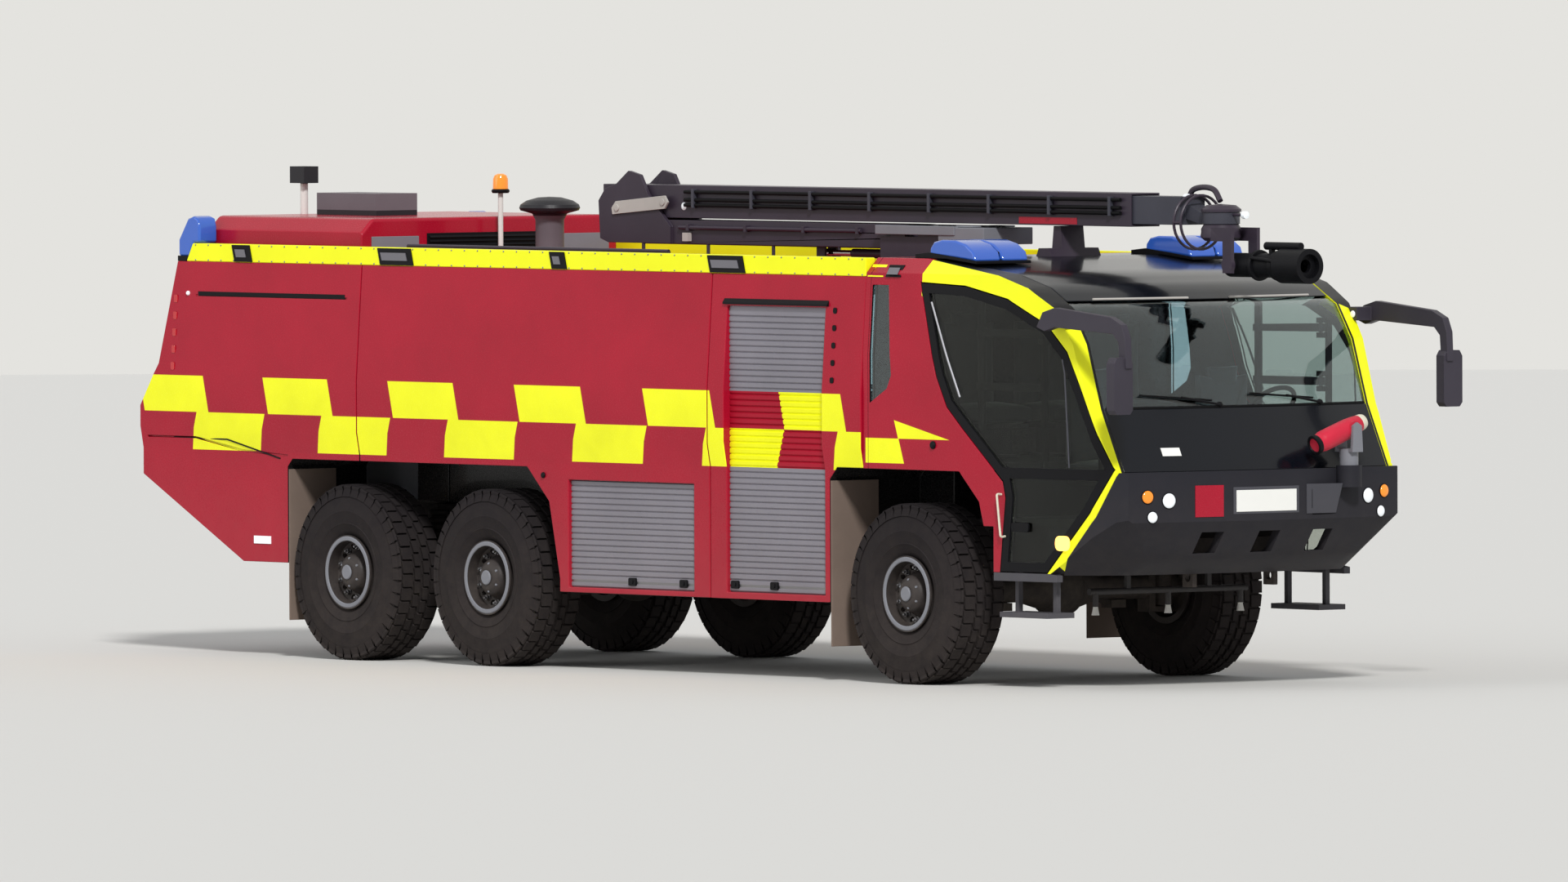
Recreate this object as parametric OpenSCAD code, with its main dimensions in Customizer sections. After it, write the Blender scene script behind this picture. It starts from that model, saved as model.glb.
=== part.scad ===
// Six-wheel airport fire truck with a folding, telescoping roof boom.
// Millimetres. +X is forward, +Y is the truck's left, +Z is up. The origin is on the ground
// under the middle of the truck's box. Places along X are given from the front axle.

/* [Running gear] */
// From the front axle to the middle axle
wheelbase = 5060; // [4800:10:5300]
// From the middle axle to the rear axle
bogie = 1730; // [1650:10:1800]
// Between the middles of the left and right tyres
track = 2500; // [2470:5:2520]
// Outer diameter of a tyre over its lugs
tyre_d = 1350; // [1320:2:1370]
// Width of a tyre
tyre_w = 440; // [420:2:455]
// Inner radius of a tyre, where it seats on its rim
bead_r = 262; // [258:1:268]
// Depth of the notches between a tyre's shoulder lugs
lug_h = 26; // [12:1:34]
// Lugs round one shoulder of a tyre
lug_n = 16; // [14:1:18]
// Radius of the rim's barrel inside
barrel_r = 236; // [232:1:242]
// Kingpin's distance from the truck's middle plane
kingpin_y = 1030; // [1022:1:1040]
// Radius of a kingpin
kingpin_r = 34; // [28:1:40]
// Radius of an axle tube
axle_r = 90; // [75:1:100]
// Radius of a differential's housing
diff_r = 215; // [190:1:225]
// Radius of a wheel's stub axle
stub_r = 58; // [50:1:66]

/* [Frame] */
// Outer width of the ladder frame
frame_w = 860; // [800:10:900]
// Height of a frame rail
rail_h = 300; // [260:5:320]
// Width of a rail's flange
rail_flange = 80; // [70:1:90]
// Thickness of a rail's plate
rail_t = 12; // [8:1:16]
// Top of the frame above the ground
rail_top = 1200; // [1190:5:1230]
// Radius of a towing eye's hole
eye_r = 30; // [24:1:40]
// Frame's front end, ahead of the front axle
frame_front = 2080; // [2000:10:2090]
// Frame's rear end, behind the front axle
frame_rear = 8980; // [8700:10:9050]

/* [Body] */
// Width of the body at its belt
body_w = 3000; // [2960:5:3040]
// How far the skirt is set in from the belt, each side
skirt_in = 30; // [15:1:45]
// How far the body's top edge leans in from the belt, each side
lean_in = 60; // [30:1:80]
// Bottom of the body between the axles
body_low = 590; // [560:5:640]
// Lower edge of the belt
belt_low = 1580; // [1560:5:1600]
// Middle of the belt
belt_mid = 1870; // [1850:5:1890]
// Upper edge of the belt
belt_top = 2150; // [2120:5:2180]
// Top of the body's side, where the roof edge starts
side_top = 3030; // [3000:5:3060]
// Height of the rear roof cover above the body's sides
cover_h = 350; // [250:5:420]
// Thickness of the roof edge's upstand
edge_t = 90; // [60:5:120]
// Seam between the rear and middle body modules, behind the front axle
seam_rear = 6610; // [6560:5:6660]
// Seam between the middle and locker modules, behind the front axle
seam_mid = 2310; // [2260:5:2360]
// Seam between the locker module and the cab, behind the front axle
seam_cab = 470; // [440:5:500]
// Open seam between two body modules
seam_gap = 8; // [6:1:12]
// Rear end of the belt, behind the front axle
rear_end = 9340; // [9300:5:9400]
// Top of the rear wheel arch
rear_arch_z = 1530; // [1500:5:1560]
// Top of the front wheel arch
front_arch_z = 1600; // [1580:5:1610]
// Half the width of the tunnel over the frame
tunnel_y = 700; // [660:5:760]

/* [Cab] */
// Thickness of the cab's walls and doors
cab_t = 60; // [50:1:70]
// Thickness of the glass
glass_t = 24; // [16:1:30]
// Height of the cab's roof
cab_top = 3170; // [3150:5:3190]
// Plan radius of the bowed front
bow_r = 6500; // [6000:50:7500]
// Front of the cab in the middle plane, ahead of the front axle
nose_x = 2540; // [2520:5:2560]
// Half the width between the windscreen's pillars
screen_y = 1265; // [1240:5:1290]
// Lower edge of the windscreen
screen_low = 2080; // [2040:5:2120]
// Lower edge of the cab's front panel, where the bumper starts
front_low = 1620; // [1615:5:1630]
// Bottom of the bumper
bumper_low = 850; // [820:5:880]
// Gap round a door
door_gap = 9; // [8:1:12]
// Radius that a door's swing arm turns on
arm_r = 720; // [680:5:740]

/* [Boom] */
// Turntable's axis behind the front axle
turn_x = 1500; // [1450:5:1550]
// Turntable's radius
turn_r = 420; // [380:5:450]
// Height of the lower boom's pivot
lift_z = 3295; // [3285:1:3298]
// Lower boom's pivot behind the turntable's axis
lift_x = 120; // [100:5:140]
// Length of the lower boom between its pivots
lower_l = 3480; // [3440:5:3500]
// Depth of the lower boom's beam
lower_h = 180; // [160:2:190]
// Width of the lower boom's beam
lower_w = 310; // [290:2:320]
// Height of the elbow's pin
elbow_z = 3525; // [3522:1:3545]
// Radius of the elbow's pin
pin_r = 45; // [36:1:52]
// Depth of the upper boom
upper_h = 250; // [240:2:260]
// Width of the upper boom
upper_w = 280; // [260:2:286]
// Front end of the upper boom's outer section, ahead of the front axle
upper_end = 1050; // [950:10:1150]
// Wall of the boom's outer section
boom_t = 14; // [10:1:18]
// Running clearance of the telescope in the outer section
slide_gap = 6; // [5:1:9]
// Swivel axis of the boom's nozzle ahead of the front axle
head_x = 1930; // [1900:5:1950]
// Bore of the nozzle's barrel
nozzle_bore = 120; // [90:2:140]

/* [Hidden] */

$fn = 32;
tyre_r = tyre_d / 2;
hub_z = tyre_r;
middle_x = -wheelbase;
rear_x = -wheelbase - bogie;
side_y = body_w / 2;
rail_y = frame_w / 2;
nozzle_tip = head_x + 1020;
lamp_proud = 20;
origin_x = (rear_end + lamp_proud - nozzle_tip) / 2;
red = [0.72, 0.03, 0.08];
yellow = [0.95, 0.95, 0.15];
dark = [0.17, 0.17, 0.19];
grey = [0.5, 0.5, 0.54];
steel = [0.35, 0.35, 0.37];
black = [0.08, 0.08, 0.09];

// Places its children from the front axle
// Rear end of the roof, behind the front axle, and a place ahead of the whole vehicle
roof_back = 8930;
past_nose = 3000;
module from_front_axle() translate([origin_x, 0, 0]) children();
// Gap between pieces that seat on each other
seat_gap = 0.3;
// Draws its children on the left and again on the right
module both_sides() {
    children();
    mirror([0, 1, 0]) children();
}
// Extrudes an outline drawn as X and Z across the truck, from y_in to y_out
module across(y_in, y_out)
    translate([0, y_out, 0]) rotate([90, 0, 0]) linear_extrude(height = y_out - y_in) children();
// Extrudes an outline drawn as Y and Z along the truck, from x_back to x_front
module along(x_back, x_front)
    translate([x_back, 0, 0]) rotate([90, 0, 90]) linear_extrude(height = x_front - x_back)
        children();
// A box between two corners
module block(low, high) translate(low) cube(high - low);
// A round bar between two points
module bar(a, b, r) {
    d = b - a;
    translate(a) rotate([0, acos(d[2] / norm(d)), atan2(d[1], d[0])])
        cylinder(h = norm(d), r = r);
}
// A cylinder along Y from y_in to y_out
module axle_bar(x, y_in, y_out, z, r, r_end = 0)
    translate([x, y_out, z]) rotate([90, 0, 0])
        cylinder(h = y_out - y_in, r2 = r, r1 = r_end > 0 ? r_end : r);

// Body's cross-section: half widths and heights of one side, from the bottom up
function side_line(low) = [
    [side_y - skirt_in, low], [side_y - skirt_in, belt_low],
    [side_y, belt_mid - 120], [side_y, belt_top],
    [side_y - lean_in, side_top]];
// Half the body's width at a height above the belt
function side_at(z) = side_y - lean_in * (z - belt_top) / (side_top - belt_top);
function mirrored(line) = [for (i = [len(line) - 1 : -1 : 0]) [-line[i][0], line[i][1]]];
module body_section(low) polygon(concat(side_line(low), mirrored(side_line(low))));
// Tunnel over the frame, open below
module tunnel(x_back, x_front)
    block([x_back, -tunnel_y, 0], [x_front, tunnel_y, rail_top]);
// Long arch over the middle and rear wheels, on both sides
rear_arch_back = rear_x - 720;
rear_arch_front = middle_x + 920;
module rear_arch() both_sides() across(tunnel_y - 100, side_y + 100)
    polygon([[rear_arch_back, 0], [rear_arch_back, rear_arch_z - 60],
             [rear_arch_back + 60, rear_arch_z], [middle_x + 520, rear_arch_z],
             [middle_x + 790, rear_arch_z - 260], [rear_arch_front, 690],
             [rear_arch_front, 0]]);
// Arch over a steered front wheel, on both sides
front_arch_back = -880;
front_arch_front = 1040;
module front_arch() both_sides() across(tunnel_y - 100, side_y + 100)
    polygon([[front_arch_back, 0], [front_arch_back, front_arch_z - 90],
             [front_arch_back + 90, front_arch_z], [660, front_arch_z],
             [880, front_arch_z - 220], [front_arch_front, bumper_low - 30],
             [front_arch_front, 0]]);

module frame() color(steel) from_front_axle() {
    both_sides() difference() {
        block([-frame_rear, rail_y - rail_flange, rail_top - rail_h],
              [frame_front, rail_y, rail_top]);
        block([-frame_rear - 1, rail_y - rail_flange - 1, rail_top - rail_h + rail_t],
              [frame_front + 1, rail_y - rail_t, rail_top - rail_t]);
    }
    // Cross-members that reach from web to web
    for (x = [-frame_rear + 20, rear_x, middle_x, -3050, -1300, 0, frame_front - 140])
        block([x, -rail_y + rail_t, rail_top - 90], [x + 120, rail_y - rail_t, rail_top - rail_t]);
}
// Towing eyes: under the front ends of the rails and behind their rear ends
eye_w = 120;
eye_places = [[frame_front - eye_w, rail_top - rail_h - 150], [-frame_rear - eye_w, rail_top - rail_h]];
module towing_eyes() color(steel) from_front_axle() both_sides() for (e = eye_places) difference() {
    block([e[0], rail_y - 60, e[1]], [e[0] + eye_w, rail_y - 20, e[1] + 150]);
    axle_bar(e[0] + eye_w / 2, rail_y - 70, rail_y - 10, e[1] + 70, eye_r);
}

// One axle's housing from hub to hub, with its differential in the middle
module axle_housing(x, reach) {
    axle_bar(x, -reach, reach, hub_z, axle_r);
    translate([x, 0, hub_z]) sphere(r = diff_r);
    both_sides() axle_bar(x, diff_r - 60, diff_r + 160, hub_z, 150, axle_r);
}
stub_end = track / 2 + 88;
yoke_r = 70;
yoke_z = 190;
module axles() color(dark) from_front_axle() {
    // The steered axle ends in a yoke with an eye above and below the knuckle
    difference() {
        union() {
            axle_housing(0, kingpin_y - 170);
            both_sides() for (s = [-1, 1]) {
                translate([0, kingpin_y, hub_z + s * (yoke_z - 20)])
                    cylinder(h = 40, r = yoke_r, center = true);
                block([-yoke_r, kingpin_y - 180, hub_z + s * (yoke_z - 20) - 20],
                      [yoke_r, kingpin_y, hub_z + s * (yoke_z - 20) + 20]);
            }
            both_sides() block([-yoke_r, kingpin_y - 190, hub_z - yoke_z],
                               [yoke_r, kingpin_y - 130, hub_z + yoke_z]);
        }
        both_sides() translate([0, kingpin_y, hub_z])
            cylinder(h = 2 * yoke_z + 20, r = kingpin_r + 1, center = true);
    }
    for (x = [middle_x, rear_x]) {
        axle_housing(x, kingpin_y + 40);
        both_sides() {
            axle_bar(x, kingpin_y + 20, kingpin_y + 130, hub_z, 195);
            axle_bar(x, kingpin_y + 120, stub_end, hub_z, stub_r);
        }
    }
}

spring_y = 560;
spring_r = 80;
// Ribbed outline of a coil spring round its damper, as heights and radii
module spring(x, z_low, z_high) {
    turns = 7;
    pitch = (z_high - z_low) / turns;
    translate([x, spring_y, 0]) rotate_extrude() polygon(concat(
        [[0, z_low]],
        [for (i = [0 : turns - 1]) each
            [[spring_r - 22, z_low + i * pitch], [spring_r, z_low + (i + 0.3) * pitch],
             [spring_r, z_low + (i + 0.7) * pitch], [spring_r - 22, z_low + (i + 1) * pitch]]],
        [[0, z_high]]));
}
module suspension() color(yellow) from_front_axle() both_sides() {
    for (x = [0, middle_x, rear_x]) {
        spring(x, hub_z + axle_r + 1, rail_top - 60);
        // Outrigger from the rail over the spring
        block([x - 90, rail_y, rail_top - 60], [x + 90, spring_y + 80, rail_top - 20]);
        // Lower link from the axle to a bracket on the rail
        block([x - 60, 480, hub_z - axle_r - 60], [x + 60, spring_y + 60, hub_z - axle_r]);
        bar([x - 20, 510, hub_z - axle_r - 30], [x - 815, 455, rail_top - rail_h - 42], 26);
        block([x - 870, rail_y - 50, rail_top - rail_h - 84], [x - 760, 500, rail_top - rail_h]);
    }
}

module driveline() color(grey) from_front_axle() {
    case_back = -3900;
    case_front = -3330;
    block([case_back, -250, 620], [case_front, 250, rail_top - 100]);
    // Propeller shafts, each from the case or a differential to the next differential
    reach = diff_r + seat_gap;
    front = [0, 0, hub_z];
    middle = [middle_x, 0, hub_z];
    rear = [rear_x, 0, hub_z];
    bar([case_front, 0, 720], toward(front, [case_front, 0, 720], reach), 55);
    bar([case_back, 0, 720], toward(middle, [case_back, 0, 720], reach), 55);
    bar(toward(middle, rear, reach), toward(rear, middle, reach), 55);
    bar([case_back, 0, 1010], [engine_front, 0, 1010], 50);
}

engine_front = -7150;
engine_back = -8650;
engine_top = 1950;
module engine() color(grey) from_front_axle()
    block([engine_back, -rail_y + rail_flange + 8, 820],
          [engine_front, rail_y - rail_flange - 8, engine_top]);

module rear_module() color(red) from_front_axle() difference() {
    intersection() {
        along(-rear_end - 10, -seam_rear - seam_gap / 2) body_section(500);
        across(-side_y, side_y) polygon([
            [-seam_rear, 500], [-8070, 500], [-8070, 730], [-rear_end, 1380], [-rear_end, 1910],
            [-9110, 2240], [-roof_back, side_top], [-seam_rear, side_top]]);
    }
    block([-rear_end, -side_y, 400], [-seam_rear, side_y, 730]);
    tunnel(-rear_end - 20, -seam_rear + 20);
    // Engine bay, open below
    block([-8900, -tunnel_y, rail_top - 1], [-7000, tunnel_y, 2300]);
    rear_arch();
    louvres();
    // Long seam of the side lid and the seam of the lid behind the arch
    both_sides() {
        block([-8680, side_at(2770) - seam_gap, 2763], [-6770, side_y, 2777]);
        across(side_y - skirt_in - seam_gap, side_y + 10) polygon([
            [-9260, 1680], [-8650, 1680], [-8080, 1590], [rear_arch_back, 1560],
            [rear_arch_back, 1546], [-8090, 1575], [-8650, 1666], [-9260, 1666]]);
    }
}
// Louvres in the tail: places of the lowest and the highest slot
louvre_h = 34;
louvre_y = 820;
module louvres() {
    for (z = [2330 : 2 * louvre_h : 2880])
        block([-9300, -louvre_y, z], [-9050 + (z - 2240) * 0.228, louvre_y, z + louvre_h]);
    for (z = [1460 : 2 * louvre_h : 1850])
        block([-rear_end - 20, -louvre_y, z], [-rear_end + 60, louvre_y, z + louvre_h]);
}

module mid_module() color(red) from_front_axle() difference() {
    along(-seam_rear + seam_gap / 2, -seam_mid - seam_gap / 2) body_section(body_low);
    tunnel(-seam_rear, -seam_mid);
    rear_arch();
    both_sides() shutter_recess(low_shutter);
}

module locker_module() color(red) from_front_axle() difference() {
    along(-seam_mid + seam_gap / 2, -seam_cab - seam_gap / 2) body_section(body_low);
    tunnel(-seam_mid, -seam_cab);
    front_arch();
    both_sides() shutter_recess(tall_shutter);
}

// Roller shutters: back edge, front edge, lower edge, upper edge
low_shutter = [-4030, -2510, 630, 1440];
tall_shutter = [-2110, -940, 640, 2790];
shutter_depth = 80;
module shutter_recess(s)
    block([s[0], side_y - skirt_in - shutter_depth, s[2]], [s[1], side_y + 10, s[3]]);
slat_h = 45;
module shutter(s) {
    face = side_y - skirt_in - 30;
    n = floor((s[3] - s[2]) / slat_h);
    along(s[0] + seat_gap, s[1] - seat_gap) polygon(concat(
        [[face - 40, s[2] + seat_gap]],
        [for (i = [0 : n - 1]) each
            [[face - 10, s[2] + seat_gap + i * slat_h], [face, s[2] + (i + 0.25) * slat_h],
             [face, s[2] + (i + 0.8) * slat_h]]],
        [[face - 10, s[3] - seat_gap], [face - 40, s[3] - seat_gap]]));
}
module shutters() color(grey) from_front_axle() both_sides() {
    shutter(low_shutter);
    shutter(tall_shutter);
}

// Rear end of the edge along each side, and how far it leans forwards at its top
edge_back = 8820;
edge_lean = 80;
module roof_edges() color(yellow) from_front_axle() {
    edge_y = side_y - lean_in;
    both_sides() across(edge_y - edge_t, edge_y) polygon([
        [-edge_back, side_top], [-seam_cab - seam_gap, side_top], [-seam_cab - seam_gap, cab_top],
        [-edge_back + edge_lean, cab_top]]);
    block([-roof_back, -cover_y, side_top], [-roof_back + edge_t, cover_y, cab_top]);
}

cover_back = -8800;
cover_front = -6850;
cover_y = 1250;
cover_top = side_top + cover_h;
module roof_cover() color(red) from_front_axle() {
    along(cover_back, cover_front) polygon([
        [-cover_y, side_top], [cover_y, side_top], [cover_y, cover_top - 110],
        [cover_y - 110, cover_top], [-cover_y + 110, cover_top], [-cover_y, cover_top - 110]]);
}

intake_x = -6110;
cradle_x = 150;
// Roof rails, low enough for the boom to pass over them
rail_line_y = 1150;
rail_line_z = lift_z - lower_h / 2 - 30;
module roof_fittings() color(dark) from_front_axle() {
    // Raised air box
    block([-8450, -450, cover_top], [-7700, -50, cover_top + 170]);
    // Air intake with its mushroom cap
    translate([intake_x, 0, side_top]) rotate_extrude() polygon([
        [0, 0], [110, 0], [110, 330], [135, 380], [225, 405], [235, 425], [225, 450], [180, 480],
        [90, 505], [0, 510]]);
    // Camera on its stalk
    bar([-8740, -350, cover_top], [-8740, -350, 3620], 30);
    block([-8830, -420, 3620], [-8650, -280, 3750]);
    // Slewing ring under the turntable
    translate([-turn_x, 0, side_top]) cylinder(h = ring_h, r = turn_r - 20);
    // Beacon pole
    bar([-6720, 0, side_top], [-6720, 0, 3560], 20);
    // Cradle that carries the folded boom over the cab
    across(-240, 240) polygon([
        [cradle_x - 90, cab_top], [cradle_x + 90, cab_top], [cradle_x + 60, cab_top + 60],
        [cradle_x - 60, cab_top + 60]]);
    across(-110, 110) polygon([
        [cradle_x - 60, cab_top + 60], [cradle_x + 60, cab_top + 60],
        [cradle_x + 40, elbow_z - upper_h / 2 - 5], [cradle_x - 40, elbow_z - upper_h / 2 - 5]]);
    // Rails along the roof's sides, on posts
    both_sides() {
        for (x = [-6400 : 800 : -3200])
            bar([x, rail_line_y, side_top], [x, rail_line_y, rail_line_z], 14);
        bar([-6400, rail_line_y, rail_line_z], [-3200, rail_line_y, rail_line_z], 16);
    }
}

// Round lamps in the bumper: distance from the middle, height, radius
bumper_lamps = [[1140, 1440, 52], [960, 1410, 60], [1100, 1290, 46]];
module bumper_lamp(l, gap)
    translate([bow_x(l[0]) - 15 - gap, l[0], l[1]]) rotate([0, 90, 0])
        cylinder(h = 40 + gap, r = l[2] + gap);
// Marker lamps in the roof edge, behind the front axle
marker_x = [8090, 6480, 4160, 2120, 560];
marker_w = 130;
module lamps() color([0.2, 0.35, 0.7]) from_front_axle() {
    // Blue light bars on the cab roof
    both_sides() intersection() {
        across(780, 1310) polygon([[-60, cab_top], [-60, 3260], [20, 3310], [300, 3310],
                                   [390, 3230], [390, cab_top]]);
        along(-60, 390) polygon([[780, cab_top], [1310, cab_top], [1310, 3240], [1230, 3310],
                                 [800, 3310], [780, 3290]]);
    }
    // Blue corner lamps at the rear, down to the foot of the roof's edge
    both_sides() across(cover_y + 5, side_y - lean_in) polygon([
        [-roof_back, side_top + seat_gap], [-edge_back - 1, side_top + seat_gap],
        [-edge_back + edge_lean - 1, cab_top + seat_gap], [-8640, cab_top + seat_gap],
        [-8640, 3280], [-8700, 3300], [-8860, 3290], [-roof_back, 3200]]);
    // Amber beacon with a domed lens
    translate([-6720, 0, 3560]) rotate_extrude() polygon([
        [0, 0], [62, 0], [70, 12], [70, 24], [60, 30], [58, 110], [46, 138], [24, 150], [0, 150]]);
    // Marker lamps in the roof edge
    both_sides() for (x = marker_x)
        block([-x - marker_w / 2, side_y - lean_in + seat_gap, side_top + 25],
              [-x + marker_w / 2, side_y - lean_in + 16, cab_top - 25]);
    both_sides() for (l = bumper_lamps) bumper_lamp(l, 0);
    // Rear lamp clusters
    both_sides() for (y = [1050, 1170, 1290])
        translate([-rear_end - lamp_proud, y, 1560]) rotate([0, 90, 0])
            cylinder(h = lamp_proud - seat_gap, r = 50);
}
// Front face of the bumper at a distance from the middle plane
function bow_x(y) = nose_x - bow_r + sqrt(bow_r * bow_r - y * y);

// Cab's outer form or, with an inset, the space inside it
bumper_lead = 90;
front_line = [[330, cab_top], [1280, 3060], [1620, 2970], [1890, 2820], [2060, 2560],
              [2220, screen_low], [nose_x - bumper_lead, front_low]];
// Radius left free round the axis of the bowed front, far behind the cab
bow_core = 1000;
module cab_form(inset) intersection() {
    // Plan, with the sides drawn in towards the front
    linear_extrude(height = 3400) offset(delta = -inset) polygon(concat(
        [[-seam_cab, side_y - 20], [700, side_y - 20], [1500, side_y - 60], [2100, side_y - 120],
         [2330, side_y - 170], [2450, side_y - 270], [past_nose, side_y - 270]],
        [[past_nose, -side_y + 270], [2450, -side_y + 270], [2330, -side_y + 170],
         [2100, -side_y + 120], [1500, -side_y + 60], [700, -side_y + 20],
         [-seam_cab, -side_y + 20]]));
    // Section, leaning in above the belt
    along(-seam_cab - 100, past_nose) offset(delta = -inset) polygon([
        [-side_y, 0], [side_y, 0], [side_y, belt_top], [side_y - lean_in, cab_top - 110],
        [side_y - lean_in - 110, cab_top], [-side_y + lean_in + 110, cab_top],
        [-side_y + lean_in, cab_top - 110], [-side_y, belt_top]]);
    // Bowed nose, turned about an upright axis behind it
    translate([nose_x - bow_r, 0, 0]) rotate([0, 0, -29])
        rotate_extrude(angle = 58, $fn = 360) offset(delta = -inset) polygon(concat(
            [[bow_core, 0], [bow_r - bumper_lead, 0]],
            [for (i = [len(front_line) - 1 : -1 : 0])
                [front_line[i][0] + bow_r - nose_x, front_line[i][1]]],
            [[bow_core, cab_top]]));
}
module cab_shell() difference() {
    cab_form(0);
    cab_form(cab_t);
}
// Door's outline in side view, as X and Z
door_line = [[180, 2990], [400, 2300], [520, 2080], [1150, 1540], [1180, 1420], [1120, 870],
             [1620, 870], [2060, 1320], [2290, 1640], [2130, 1900], [1960, 2250], [1830, 2500],
             [1620, 2700], [1200, 2880], [700, 2970]];
// Rear quarter window's outline
quarter_line = [[-390, 2970], [-200, 2970], [-140, 2300], [-190, 2200], [-390, 2090]];
// Sill under the door, as X and Z
sill_top = 870 - door_gap;
sill_line = [[front_arch_front, bumper_low - 50], [1720, bumper_low - 50], [1720, bumper_low],
             [1640, sill_top], [front_arch_front, sill_top]];
// Reach of the coloured arc round the front of the door
arc_line = [[190, 3300], [190, 2900], [1300, 2000], [1300, 700], [past_nose, 700], [past_nose, 3300]];

module cab_floor() color(steel) from_front_axle() intersection() {
    cab_floor_panels();
    cab_form(cab_t + 6);
}
module cab_floor_panels() {
    inner = side_y - 130;
    floor_front = 2040;
    // Rear floor over the wheels, riser and front floor over the frame
    across(-inner, inner) polygon([
        [-seam_cab + cab_t, front_arch_z + 10], [front_arch_front, front_arch_z + 10],
        [front_arch_front, 1210], [floor_front, 1210], [floor_front, 1270],
        [front_arch_front + 60, 1270],
        [front_arch_front + 60, front_arch_z + 70], [-seam_cab + cab_t, front_arch_z + 70]]);
    // Cross-beams that carry the cab on the frame
    for (x = [-300, 760])
        block([x, -rail_y, rail_top], [x + 120, rail_y, front_arch_z + 10]);
    // Entry step wells inside the doors
    both_sides() {
        block([front_arch_front + 10, 900, bumper_low + 20], [1700, inner, bumper_low + 50]);
        block([front_arch_front + 10, 900, bumper_low + 50], [1700, 930, 1210]);
    }
}
screen_top = 2870;
module cab_roof() color(black) from_front_axle() intersection() {
    cab_shell();
    block([-seam_cab + cab_t, -screen_y, screen_top], [past_nose, screen_y, cab_top + 10]);
}
module cab_rear_wall() color(grey) from_front_axle() intersection() {
    cab_form(0);
    block([-seam_cab, -side_y, front_arch_z], [-seam_cab + cab_t - 0.3, side_y, cab_top + 10]);
}
// Bumper's rear boundary, as X and Z
bumper_back = [[1720, bumper_low], [2140, 1290], [2350, front_low]];
module cab_side_shell() difference() {
    intersection() {
        cab_shell();
        both_sides() block([-seam_cab + cab_t, screen_y, sill_top + seat_gap],
                           [past_nose, side_y, cab_top + 10]);
    }
    front_arch();
    block([-seam_cab - 10, -side_y, 0], [front_arch_front, side_y, front_arch_z - 400]);
    across(-side_y, side_y) offset(delta = door_gap) polygon(door_line);
    across(-side_y, side_y) polygon(quarter_line);
    across(-side_y, side_y) offset(delta = seat_gap) polygon(concat(bumper_back,
        [[past_nose, front_low], [past_nose, 0], [1720, 0]]));
}
// Side panels behind the doors, down to the wheel arch
module cab_sides() color(red) from_front_axle() difference() {
    cab_side_shell();
    across(-side_y, side_y) offset(delta = seat_gap) polygon(arc_line);
}
// Arcs over the doors that run down the front pillars
module cab_arcs() color(yellow) from_front_axle() difference() {
    intersection() {
        cab_side_shell();
        across(-side_y, side_y) polygon(arc_line);
    }
    bumper_corners(0);
}
module cab_front() color(black) from_front_axle() intersection() {
    cab_shell();
    block([1800, -screen_y, front_low + seat_gap], [past_nose, screen_y, screen_low - seat_gap]);
}
// A pane of the cab's glass, set in from the cab's form
module glass_sheet(inset) difference() {
    cab_form(inset);
    cab_form(inset + glass_t);
}
// Windscreen and the narrow rear quarter windows
module cab_glass() color([0.1, 0.12, 0.16]) from_front_axle() {
    intersection() {
        glass_sheet(10);
        block([1000, -screen_y + seat_gap, screen_low],
              [past_nose, screen_y - seat_gap, screen_top - seat_gap]);
    }
    intersection() {
        glass_sheet(15);
        both_sides() across(screen_y, side_y) offset(delta = -seat_gap) polygon(quarter_line);
    }
}
// Seats: place, side and the height of the floor under them
seat_table = [[1180, 620, 1270], [1180, -620, 1270], [-180, 700, front_arch_z + 70],
              [-180, 0, front_arch_z + 70], [-180, -700, front_arch_z + 70]];
module seats() color(dark) from_front_axle() for (s = seat_table) {
    block([s[0], s[1] - 250, s[2]], [s[0] + 460, s[1] + 250, s[2] + 400]);
    block([s[0] - 60, s[1] - 240, s[2] + 400.3], [s[0] + 60, s[1] + 240, s[2] + 1080]);
}
module dashboard() color(dark) from_front_axle() {
    intersection() {
        cab_form(cab_t + 0.3);
        across(-1150, 1150) polygon([[1900, 1270], [2150, 1270], [2150, 1600], [2400, 1640],
                                     [2240, 1960], [2060, 2020], [1880, 1980]]);
    }
    // Steering wheel on its column
    bar([1900, 620, 1900], [1740, 620, 2060], 25);
    translate([1740, 620, 2060]) rotate([0, -45, 0]) rotate_extrude()
        translate([200, 0]) circle(r = 18);
    translate([1740, 620, 2060]) rotate([0, -45, 0]) cube([20, 380, 20], center = true);
}
// A lower front corner of the bumper is cut on the slant, through this point and square to this way
corner_at = [2450, 1360, 1340];
corner_way = [0, 136, 47];
// Longer than the bumper's corner is in any direction
corner_size = 1500;
module bumper_corners(inset) both_sides() translate(corner_at) rotate(corner_way)
    translate([-corner_size, -corner_size, -inset]) cube(2 * corner_size);
module bumper_form(inset) difference() {
    bumper_block(inset);
    bumper_corners(inset);
}
module bumper_block(inset) intersection() {
    linear_extrude(height = front_low - inset * 0.75) offset(delta = -inset) polygon(concat(
        [[1500, side_y - 60], [2100, side_y - 105], [2330, side_y - 150], [2470, side_y - 240],
         [past_nose, side_y - 240]],
        [[past_nose, -side_y + 240], [2470, -side_y + 240], [2330, -side_y + 150],
         [2100, -side_y + 105], [1500, -side_y + 60]]));
    translate([nose_x - bow_r, 0, 0]) rotate([0, 0, -29])
        rotate_extrude(angle = 58, $fn = 360) offset(delta = -inset) polygon([
            [past_nose, bumper_low], [bow_r - 420, bumper_low], [bow_r - 190, 980], [bow_r, 1250],
            [bow_r, front_low + 1], [past_nose, front_low + 1]]);
}
monitor_x = 2560;
monitor_y = 700;
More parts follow.
